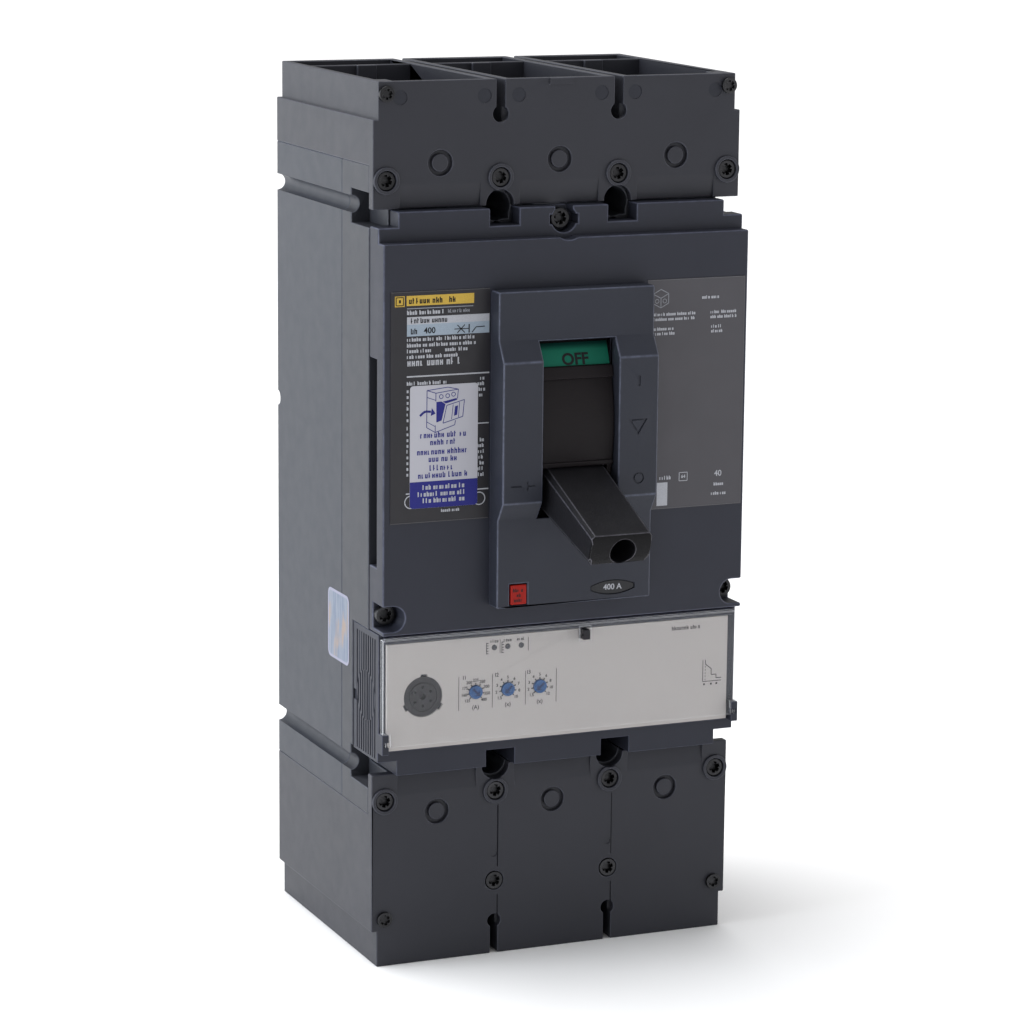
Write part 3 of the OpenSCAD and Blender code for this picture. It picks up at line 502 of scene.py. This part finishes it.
def shell(node, finish, width, zones):
    """A node's own shape with its edges rounded, except the trip unit's fine vents.

    Zones give other finishes to faces picked by place.
    """
    bm = bmesh.new()
    bm.from_mesh(frame["nodes"][node].data)
    bmesh.ops.remove_doubles(bm, verts=bm.verts, dist=3e-6)
    bmesh.ops.dissolve_limit(bm, angle_limit=math.radians(0.5), verts=bm.verts, edges=bm.edges)
    size = width * MM
    picked = [
        e for e in bm.edges
        if len(e.link_faces) == 2 and e.is_convex and e.calc_face_angle(0) > SHARP and roomy(e, size)
        and not (node == "trip_housing" and is_vent(*middle_of(e)))
    ]
    made = bmesh.ops.bevel(
        bm, geom=picked, offset=size, offset_type="OFFSET", segments=2, profile=0.5,
        affect="EDGES", clamp_overlap=False, loop_slide=True,
    )
    rounded = set(made["faces"])
    layer = bm.verts.layers.float.new("edge")
    for vert in bm.verts:
        vert[layer] = 1.0 if vert.link_faces and all(f in rounded for f in vert.link_faces) else 0.0
    for face in bm.faces:
        face.material_index = 0
        middle = face.calc_center_median() / MM
        for index, (inside, _) in enumerate(zones):
            if inside(middle.x, -middle.y, middle.z):
                face.material_index = index + 1
    finishes = [FINISH[finish]] + [FINISH[name] for _, name in zones]
    smooth_normals(add_piece("v_" + node, bm, finishes, BODY_OF[node], node))


# Node, finish, width of the rounded edges in millimetres, and zones with a finish of their own
SHELLS = (
    ("rear_base", "case", 0.5, ()),
    ("middle_casing", "mid_case", 0.45, ()),
    ("front_cover", "cover", 0.6, ()),
    ("escutcheon", "escutcheon", 0.7, ()),
    ("upper_lug_cover", "lug_cover", 0.4, ((is_ejector, "ejector"),)),
    ("lower_lug_cover", "lug_cover", 0.4, ()),
    ("upper_cover_screws", "screw", 0.18, ()),
    ("lower_cover_screws", "screw", 0.18, ()),
    ("front_cover_screws", "screw", 0.18, ()),
    ("case_screws", "steel", 0.12, ()),
    ("rating_badge", "badge", 0.12, ()),
    ("handle", "black", 0.35, ((is_tip, "tip"),)),
    ("handle_shutter", "shutter", 0.2, ()),
    ("off_flag", "green", 0.1, ()),
    ("handle_yoke", "steel", 0.2, ()),
    ("mechanism_plates", "steel", 0.2, ()),
    ("mechanism_pins", "steel", 0.25, ()),
    ("cradle", "steel", 0.3, ()),
    ("upper_links", "steel", 0.2, ()),
    ("lower_links", "steel", 0.2, ()),
    ("contact_rotor", "resin", 0.4, ()),
    ("rotor_pins", "steel", 0.25, ()),
    ("contact_bridges", "copper", 0.25, ()),
    ("line_bars", "copper", 0.3, ((is_silver, "silver"),)),
    ("load_bars", "copper", 0.3, ((is_silver, "silver"),)),
    ("line_lugs", "aluminium", 0.5, ()),
    ("load_lugs", "aluminium", 0.5, ()),
    ("lug_screws", "steel", 0.3, ()),
    ("upper_arc_chutes", "fibre", 0.15, ((is_plate, "plate_steel"),)),
    ("lower_arc_chutes", "fibre", 0.15, ((is_plate, "plate_steel"),)),
    ("current_transformers", "transformer", 0.4, ((is_winding, "copper"),)),
    ("trip_housing", "cover", 0.25, ()),
    ("trip_front_plate", "beige", 0.2, ()),
    ("test_socket", "socket", 0.15, ()),
    ("status_lamps", "lamp", 0.12, ()),
    ("pickup_dial", "blue", 0.15, ()),
    ("delay_dial", "blue", 0.15, ()),
    ("instantaneous_dial", "blue", 0.15, ()),
    ("trip_window", "clear", 0.3, ((is_wall, "clear_wall"),)),
    ("seal_post", "socket", 0.2, ()),
    ("circuit_board", "board", 0.1, ((is_chip, "chip"),)),
    ("trip_solenoid", "tape", 0.3, ()),
    ("solenoid_plunger", "steel", 0.2, ()),
    ("trip_bar", "gold_resin", 0.2, ()),
    ("trip_button", "red", 0.35, ()),
)
for node, finish, width, zones in SHELLS:
    shell(node, finish, width, zones)

# CAD nodes that stay visible
KEPT_NODES = (("rating_label", "label_dark"), ("wiring_label", "label_grey"), ("main_springs", "spring"))
for node, finish in KEPT_NODES:
    materials = frame["nodes"][node].data.materials
    materials.clear()
    materials.append(FINISH[finish])

# ---------------------------------------------------------------- the trip button's spring


def coil(node, start, end, radius, wire, turns):
    """Replaces a node with a helix of round wire between two points, with closed end turns."""
    axis = end - start
    length = axis.length
    turn_frame = axis.to_track_quat("Z", "Y").to_matrix().to_4x4()
    turn_frame.translation = start
    steps = int(turns * 20)
    sides = 8
    bm = bmesh.new()
    rings = []
    for i in range(steps + 1):
        share = i / steps
        angle = share * turns * math.tau
        eased = min(max((share * turns - 0.9) / (turns - 1.8), 0), 1)
        rise = wire + eased * (length - 4 * wire) + wire * 2 * (share if share < 0.5 else share)
        out = Vector((math.cos(angle), math.sin(angle), 0))
        centre = out * radius + Vector((0, 0, min(rise, length - wire)))
        ring = []
        for k in range(sides):
            a = k / sides * math.tau
            around = out * math.cos(a) * wire
            ring.append(bm.verts.new(turn_frame @ (centre + around + Vector((0, 0, math.sin(a) * wire)))))
        rings.append(ring)
    for first, second in zip(rings, rings[1:]):
        for k in range(sides):
            bm.faces.new((first[k], first[(k + 1) % sides], second[(k + 1) % sides], second[k]))
    bm.faces.new(rings[0])
    bm.faces.new(list(reversed(rings[-1])))
    bmesh.ops.recalc_face_normals(bm, faces=bm.faces)
    add_piece("v_" + node, bm, [FINISH["spring"]], BODY_OF[node], node).data.shade_smooth()


(left, right), (back, front), (low, high) = span("trip_button_spring")
coil(
    "trip_button_spring",
    at((left + right) / 2, back, (low + high) / 2),
    at((left + right) / 2, front, (low + high) / 2),
    radius=2.45 * MM, wire=0.4 * MM, turns=3.5,
)

# ---------------------------------------------------------------- prints and stickers

INK = 0.05  # the thickness of a print, in millimetres


class Print:
    """Thin ink on a face.

    Outlines are in millimetres across and up, and place maps (across, up, out) to the model.
    """

    def __init__(self, name, finish, place, thick=INK):
        self.name, self.finish, self.place, self.thick = name, finish, place, thick
        self.bm = bmesh.new()

    def area(self, points):
        front = [self.bm.verts.new((x, z, self.thick)) for x, z in points]
        back = [self.bm.verts.new((x, z, 0)) for x, z in points]
        self.bm.faces.new(front)
        self.bm.faces.new(list(reversed(back)))
        for i, point in enumerate(front):
            after = (i + 1) % len(front)
            self.bm.faces.new((point, back[i], back[after], front[after]))

    def bar(self, x0, x1, z0, z1):
        self.area([(x0, z0), (x1, z0), (x1, z1), (x0, z1)])

    def line(self, a, b, w):
        run = Vector((b[0] - a[0], b[1] - a[1]))
        side = Vector((-run.y, run.x)).normalized() * w / 2
        self.area([
            (a[0] - side.x, a[1] - side.y), (b[0] - side.x, b[1] - side.y),
            (b[0] + side.x, b[1] + side.y), (a[0] + side.x, a[1] + side.y),
        ])

    def path(self, points, w, closed=False):
        ends = points[1:] + points[:1] if closed else points[1:]
        for a, b in zip(points, ends):
            self.line(a, b, w)

    def frame(self, x0, x1, z0, z1, w):
        self.path([(x0, z0), (x1, z0), (x1, z1), (x0, z1)], w, True)

    def ring(self, x, z, r, w):
        inner, outer = r - w / 2, r + w / 2
        n = 40
        for i in range(n):
            a, b = (math.radians(360 * k / n) for k in (i, i + 1))
            corners = ((inner, a), (outer, a), (outer, b), (inner, b))
            self.area([(x + reach * math.cos(turn), z + reach * math.sin(turn)) for reach, turn in corners])

    def rounded(self, x0, x1, z0, z1, r, top_r=None):
        """A rectangle with round corners; the two upper ones may have a radius of their own."""
        t = r if top_r is None else top_r
        corners = (
            (x1 - r, z0 + r, -90, r), (x1 - t, z1 - t, 0, t),
            (x0 + t, z1 - t, 90, t), (x0 + r, z0 + r, 180, r),
        )
        points = []
        for x, z, start, radius in corners:
            for k in range(7):
                a = math.radians(start + 15 * k)
                points.append((x + radius * math.cos(a), z + radius * math.sin(a)))
        self.area(points)

    def text(self, words, x, z, size, bold):
        curve = bpy.data.curves.new("words", "FONT")
        curve.offset = bold
        curve.body = words
        curve.size = size
        curve.align_x = curve.align_y = "CENTER"
        curve.extrude = self.thick / 2
        curve.resolution_u = 4
        letters = bpy.data.objects.new("words", curve)
        bpy.context.scene.collection.objects.link(letters)
        bpy.context.view_layer.update()
        mesh = bpy.data.meshes.new_from_object(letters.evaluated_get(bpy.context.evaluated_depsgraph_get()))
        mesh.transform(Matrix.Translation((x, z, self.thick / 2)))
        self.bm.from_mesh(mesh)
        bpy.data.objects.remove(letters)
        bpy.data.curves.remove(curve)
        bpy.data.meshes.remove(mesh)

    def script(self, x0, x1, z, tall, seed, weight=0.2):
        """One row of small letter-like strokes that stand on z and read as no word."""
        dice = random.Random(seed)
        step = tall * 0.66
        wide = tall * 0.5
        stroke = tall * weight
        low = tall * 0.74
        x, left = x0, dice.randint(3, 8)
        while x + wide <= x1 + 0.01:
            if left == 0:
                x += step * 0.6
                left = dice.randint(2, 8)
                continue
            self.bar(x, x + stroke, z, z + (tall if dice.random() < 0.35 else low))
            if dice.random() < 0.75:
                self.bar(x + wide - stroke, x + wide, z, z + low)
            level = z + dice.choice((0, low / 2 - stroke / 2, low - stroke))
            self.bar(x + stroke, x + wide - stroke, level, level + stroke)
            x += step
            left -= 1

    def done(self, body, replaced=None):
        for vert in self.bm.verts:
            vert.co = self.place(*vert.co)
        bmesh.ops.recalc_face_normals(self.bm, faces=self.bm.faces)
        add_piece(self.name, self.bm, [FINISH[self.finish]], body, replaced)


def on_front(depth):
    """A place on a face that looks to the front."""
    return lambda x, z, out: at(x, depth + out, z)


def turned(x, depth, z, angle):
    """A place on the front, turned about its own middle."""
    a = math.radians(angle)
    return lambda u, v, out: at(
        x + u * math.cos(a) - v * math.sin(a), depth + out - 0.04, z + u * math.sin(a) + v * math.cos(a))


def on_drum(angle, radius):
    """A place on the handle's curved shutter or flags, at an angle above straight ahead."""
    a = math.radians(angle)
    out = Vector((0, -math.cos(a), math.sin(a)))
    rise = Vector((0, math.sin(a), math.cos(a)))
    centre = at(0, *PIVOT) + out * (radius * MM)
    return lambda x, z, raised: centre + Vector((x * MM, 0, 0)) + rise * (z * MM) + out * (raised * MM)


def print_rating_label():
    (left, right), (_, face), (bottom, top) = span("rating_label")
    amber = Print("rating_print_amber", "amber_ink", on_front(face))
    amber.bar(left + 1.5, left + 5.1, top - 5.2, top - 1.5)
    amber.bar(left + 5.8, left + 30.9, top - 5.0, top - 1.5)
    amber.done("case")
    white = Print("rating_print_white", "white_ink", on_front(face))
    white.bar(left + 6.0, left + 36.7, top - 11.5, top - 8.9)
    white.script(left + 6.0, left + 20.2, top - 8.1, 1.5, 4, 0.26)
    white.bar(left + 6.0, left + 36.8, top - 29.9, top - 29.4)
    white.bar(left + 31.5, left + 36.8, top - 47.6, top - 47.2)
    white.bar(left + 5.8, left + 36.8, top - 71.0, top - 70.6)
    for i, (start, stop) in enumerate(((6.0, 31.4), (6.0, 32.4), (6.0, 16.0), (6.0, 26.2))):
        white.script(left + start, left + stop, top - 17.4 - 2.0 * i, 1.35, 11 + i, 0.24)
    white.script(left + 20.2, left + 29.4, top - 21.4, 1.35, 16, 0.24)
    white.script(left + 6.2, left + 27.6, top - 26.0, 2.4, 21)
    white.script(left + 6.0, left + 21.4, top - 32.7, 1.3, 22, 0.24)
    for i in range(15):
        z = top - 35.3 - 2.03 * i
        white.script(left + 6.0, left + 7.2, z - (0.9 if i > 5 else 0), 1.3, 200 + i, 0.26)
    for i, drop in enumerate((32.1, 34.0, 36.0, 38.0, 53.9, 55.9, 58.0, 60.0, 62.1, 64.1, 66.2)):
        start = (33.4, 32.4, 32.8, 33.0)[i % 4]
        white.script(left + start, left + 35.4, top - drop, 1.35, 31 + i, 0.26)
    white.ring(left + 33.3, top - 74.1, 2.2, 0.35)
    white.ring(left + 7.6, top - 73.8, 2.2, 0.35)
    white.script(left + 19.0, left + 25.8, top - 78.0, 1.1, 60, 0.24)
    white.done("case")
    grey = Print("rating_print_grey", "grey_ink", on_front(face))
    grey.bar(left + 6.0, left + 30.6, top - 6.1, top - 5.8)
    grey.script(left + 21.2, left + 29.4, top - 8.0, 1.3, 61, 0.16)
    grey.done("case")
    band = Print("rating_print_band", "band_ink", on_front(face))
    band.bar(left + 6.0, left + 36.7, top - 15.6, top - 11.5)
    band.done("case")
    dark = Print("rating_print_dark", "dark_ink", on_front(face + INK))
    dark.frame(left + 1.95, left + 4.65, top - 4.75, top - 1.95, 0.3)
    dark.bar(left + 3.0, left + 3.7, top - 3.9, top - 2.8)
    dark.script(left + 6.7, left + 20.2, top - 4.3, 2.0, 40)
    dark.script(left + 21.6, left + 24.4, top - 4.3, 2.0, 47)
    dark.script(left + 7.4, left + 21.0, top - 11.1, 1.8, 41, 0.18)
    dark.text("400", left + 14.4, top - 13.9, 2.9, 0.06)
    dark.script(left + 7.4, left + 10.4, top - 14.9, 2.0, 42, 0.18)
    middle = top - 13.8
    dark.line((left + 23.6, middle), (left + 29.0, middle), 0.3)
    dark.line((left + 24.7, middle + 1.4), (left + 27.5, middle - 1.4), 0.32)
    dark.line((left + 24.7, middle - 1.4), (left + 27.5, middle + 1.4), 0.32)
    dark.line((left + 29.1, middle - 1.5), (left + 29.1, middle + 1.5), 0.45)
    dark.path([(left + 30.2, middle - 1.4), (left + 31.7, middle + 0.4), (left + 35.0, middle + 0.5)], 0.32)
    dark.done("case")
    # Pale lines on the top and bottom edges: a painted highlight.
    edge = Print("rating_edge_highlight", "painted_edge_highlight", on_front(face))
    edge.bar(left + 0.1, right - 0.1, top - 0.3, top - 0.1)
    edge.bar(left + 0.1, right - 0.1, bottom + 0.1, bottom + 0.35)
    edge.done("case")


def print_wiring_label():
    (left, right), (_, face), (bottom, top) = span("wiring_label")
    white = Print("wiring_print_white", "grey_ink", on_front(face))
    x, z = left + 5.2, top - 6.5
    cube = [(x - 3, z - 2), (x - 3, z + 1.4), (x, z + 3), (x + 3, z + 1.4), (x + 3, z - 2), (x, z - 3.6)]
    white.path(cube, 0.25, True)
    white.path([(x - 3, z + 1.4), (x, z - 0.2), (x + 3, z + 1.4)], 0.25)
    white.line((x, z - 0.2), (x, z - 3.6), 0.25)
    white.ring(x - 1.5, z - 1.2, 0.7, 0.2)
    white.ring(x + 1.5, z - 1.2, 0.7, 0.2)
    white.done("case")
    text = Print("wiring_print_text", "white_ink", on_front(face))
    text.script(right - 17, right - 9.6, top - 7.6, 1.2, 51, 0.24)
    for i in range(2):
        text.script(left + 2.4, left + 19, top - 13 - 1.75 * i, 1.15, 61 + i, 0.24)
        text.script(right - 13.6, right - 2.6, top - 13 - 1.75 * i, 1.15, 71 + i, 0.24)
        text.script(left + 2.4, left + 11, top - 18.2 - 1.7 * i, 1.15, 81 + i, 0.24)
        text.script(right - 13.2, right - 8.6, top - 18.2 - 1.7 * i, 1.15, 91 + i, 0.24)
    text.bar(left + 4.8, left + 9.0, bottom + 1.2, bottom + 9.6)
    text.frame(left + 13.6, left + 16.8, bottom + 9.8, bottom + 12.8, 0.24)
    text.text("64", left + 15.2, bottom + 11.3, 1.7, 0.04)
    text.script(left + 5.8, left + 10.2, bottom + 10.6, 1.4, 95, 0.24)
    text.text("40", right - 9.4, bottom + 11.6, 3.0, 0.03)
    text.script(right - 11, right - 6, bottom + 7.2, 1.2, 96, 0.24)
    text.script(right - 12, right - 5.4, bottom + 3.8, 1.2, 97, 0.24)
    text.done("case")
    # Pale lines on the top, right and bottom edges: a painted highlight.
    edge = Print("wiring_edge_highlight", "painted_rim_highlight", on_front(face))
    edge.bar(left + 0.2, right - 0.1, top - 0.3, top - 0.12)
    edge.bar(right - 0.26, right - 0.1, bottom + 0.1, top - 0.4)
    edge.bar(left + 0.2, right - 0.4, bottom + 0.1, bottom + 0.26)
    edge.done("case")


def draw_open_breaker(pen, x, top):
    """A small breaker with its cover swung open, and an arrow into it."""

    def spot(across, drop):
        return x + across, top - drop

    pen.path([spot(-6.4, 1.8), spot(1.4, 1.0), spot(5.3, 1.9), spot(-3.1, 2.9)], 0.26, True)
    pen.path([spot(-6.4, 1.8), spot(-6.5, 14.8), spot(-3.3, 16.7), spot(4.0, 14.4), spot(4.3, 12.8)], 0.26)
    pen.path([spot(-3.1, 2.9), spot(-3.1, 5.8)], 0.26)
    pen.path([spot(-3.3, 14.2), spot(-3.3, 16.7)], 0.26)
    pen.path([spot(5.3, 1.9), spot(5.0, 5.2)], 0.26)
    pen.path([spot(-6.4, 4.2), spot(-3.1, 5.4)], 0.22)
    pen.path([spot(-6.5, 12.8), spot(-3.3, 14.6)], 0.22)
    for across, drop in ((-1.1, 4.2), (1.3, 4.0), (3.5, 3.6)):
        pen.ring(x + across, top - drop, 0.7, 0.26)
    pen.area([spot(-2.9, 13.2), spot(-0.9, 12.6), spot(0.5, 6.9), spot(-1.0, 5.9), spot(-2.9, 6.0)])
    pen.area([spot(-0.6, 6.0), spot(0.7, 6.7), spot(5.0, 5.6), spot(4.6, 5.0)])
    pen.path([spot(-9.0, 10.6), spot(-7.8, 9.5), spot(-6.9, 9.1)], 0.8)
    pen.path([spot(-6.9, 9.1), spot(-4.9, 9.3)], 0.8)
    pen.area([spot(-5.0, 10.8), spot(-3.2, 10.0), spot(-4.6, 8.0)])
    pen.path([spot(-0.4, 13.6), spot(1.0, 7.4), spot(7.6, 5.7), spot(7.0, 11.6)], 0.26, True)
    pen.path([spot(2.8, 12.4), spot(3.4, 7.2)], 0.22)
    pen.path([spot(5.4, 11.8), spot(5.8, 6.5)], 0.22)
    pen.area([spot(3.7, 11.2), spot(4.9, 10.9), spot(5.2, 7.6), spot(4.1, 7.9)])


def make_stickers():
    (left, right), (_, face), (bottom, top) = span("instruction_sticker")
    paper = Print("v_instruction_sticker", "sticker", on_front(face - 0.15), 0.13)
    paper.rounded(left, right, bottom, top, 1.2)
    paper.done("case", "instruction_sticker")
    blue = Print("instruction_print_blue", "blue_ink", on_front(face - 0.02), 0.03)
    blue.rounded(left + 0.02, right - 0.02, bottom + 0.02, bottom + 9.4, 1.18, 0.02)
    middle = (left + right) / 2
    rows = ((24.7, 17.8), (22.1, 10.3), (18.8, 20.1), (16.2, 11.4), (13.1, 10.7), (10.5, 19.3))
    for i, (rise, wide) in enumerate(rows):
        blue.script(middle - wide / 2, middle + wide / 2, bottom + rise, 2.0, 101 + i)
    draw_open_breaker(blue, middle, top)
    blue.done("case")
    white = Print("instruction_print_white", "white_ink", on_front(face + 0.01), 0.02)
    for i, (rise, wide) in enumerate(((6.5, 15.9), (4.1, 19.5), (1.8, 15.7))):
        white.script(middle - wide / 2, middle + wide / 2, bottom + rise, 1.7, 121 + i, 0.24)
    white.done("case")
    (_, inner), (back, front), (low, high) = span("inspection_sticker")
    rim = Print("v_inspection_sticker", "rim", lambda d, z, out: at(inner - out, d, z), 0.1)
    rim.rounded(back, front, low, high, 2.6)
    rim.done("case", "inspection_sticker")
    seal = Print("seal_foil", "foil", lambda d, z, out: at(inner - 0.1 - out, d, z), 0.03)
    seal.rounded(back + 1, front - 1, low + 1, high - 1, 1.9)
    seal.done("case")


def print_trip_plate():
    face = span("trip_front_plate")[1][1]
    dials = [sum(span(n)[0]) / 2 for n in ("pickup_dial", "delay_dial", "instantaneous_dial")]
    dial_z = sum(span("pickup_dial")[2]) / 2
    marks = Print("plate_print", "plate_ink", on_front(face), 0.04)
    scales = (
        ("125", "160", "175", "200", "225", "250", "300", "350", "400"),
        ("1.5", "2", "3", "4", "5", "6", "7", "8", "10"),
        ("1.5", "2", "3", "4", "5", "6", "8", "10", "12"),
    )
    for x, scale, heading, unit in zip(dials, scales, ("I1", "I2", "I3"), ("(A)", "(x)", "(x)")):
        for k, number in enumerate(scale):
            a = math.radians(225 - 33.75 * k)
            out = Vector((math.cos(a), math.sin(a)))
            marks.line((x + out.x * 2.6, dial_z + out.y * 2.6), (x + out.x * 3.3, dial_z + out.y * 3.3), 0.45)
            marks.text(number, x + out.x * 4.5, dial_z + out.y * 4.3, 1.5, 0.04)
        marks.text(heading, x - 4.3, dial_z + 5.5, 2.0, 0.03)
        marks.text(unit, x, dial_z - 5.6, 2.1, 0.03)
    for x in (dials[0] - 6.5, dials[0] + 6.4, dials[1] + 6.8, dials[2] + 6.4):
        marks.line((x, dial_z - 6.3), (x, dial_z + 6.1), 0.2)
    first = span("status_lamps")[0][0] + 1
    for i in range(3):
        marks.script(first + 5.1 * i - 1.6, first + 5.1 * i + 1.6, -54.2, 1.2, 300 + i, 0.2)
    for x in (first + 2.1, first + 13.0):
        marks.line((x, -58.2), (x, -53.2), 0.2)
    for x in (first - 2.7, first + 3.2):
        for k in range(5):
            marks.bar(x - 0.55, x + 0.35, -58.2 + 0.95 * k, -57.9 + 0.95 * k)
        marks.bar(x - 0.55, x - 0.3, -58.2, -54.1)
    x, z = 56.4, dial_z - 4.1
    marks.path([(x, z + 8.1), (x, z), (x + 7.5, z)], 0.24)
    marks.path([
        (x + 1.0, z + 8.1), (x + 1.0, z + 6.5), (x + 3.4, z + 4.6), (x + 3.4, z + 2.4), (x + 5.4, z + 2.4),
        (x + 5.4, z + 1.0), (x + 7.5, z + 1.0),
    ], 0.28)
    for drop in range(5):
        marks.bar(x + 0.9, x + 1.1, z + 0.4 + 1.2 * drop, z + 1.0 + 1.2 * drop)
    for shift in (0.6, 3.4, 5.6):
        marks.bar(x + shift - 0.35, x + shift + 0.35, z - 1.4, z - 0.7)
    marks.script(43.6, 55.8, -55.6, 1.5, 330, 0.18)
    marks.done("case")
    for node, turn in (("pickup_dial", -135), ("delay_dial", -225), ("instantaneous_dial", -228)):
        (left, right), (_, front), (low, high) = span(node)
        place = turned((left + right) / 2, front, (low + high) / 2, turn)
        arrow = Print(node + "_arrow", "arrow_ink", place, 0.04)
        arrow.area([(-0.5, -1.9), (0.5, -1.9), (0.5, 0.4), (1.4, 0.4), (0, 1.95), (-1.4, 0.4), (-0.5, 0.4)])
        arrow.done(BODY_OF[node])


def print_flags():
    off = Print("flag_print_off", "dark_ink", on_drum(20.7, 67.44), 0.06)
    off.text("OFF", 0.5, 0.1, 5.8, 0.17)
    off.done("handle")
    on = Print("flag_print_on", "red_ink", on_drum(-60.6, 67.02))
    on.bar(-12, 12, -2.2, 2.2)
    on.done("handle")
    word = Print("flag_print_on_word", "white_ink", on_drum(-60.6, 67.08))
    word.text("ON", 0, -0.1, 4.4, 0.06)
    word.done("handle")


def print_badge():
    (left, right), (_, face), (low, high) = span("rating_badge")
    white = Print("badge_print", "white_ink", on_front(face), 0.04)
    white.text("400 A", (left + right) / 2, (low + high) / 2, 2.9, 0.04)
    white.done("case")


def print_button():
    (left, right), (_, face), (low, high) = span("trip_button")
    dark = Print("button_print", "dark_ink", on_front(face), 0.03)
    x, z = (left + right) / 2, (low + high) / 2
    for i, (rise, half) in enumerate(((1.0, 2.2), (-0.8, 0.8), (-2.6, 1.8))):
        dark.script(x - half, x + half, z + rise, 1.3, 140 + i)
    dark.done("button")


print_rating_label()
print_wiring_label()
make_stickers()
print_trip_plate()
print_flags()
print_badge()
print_button()
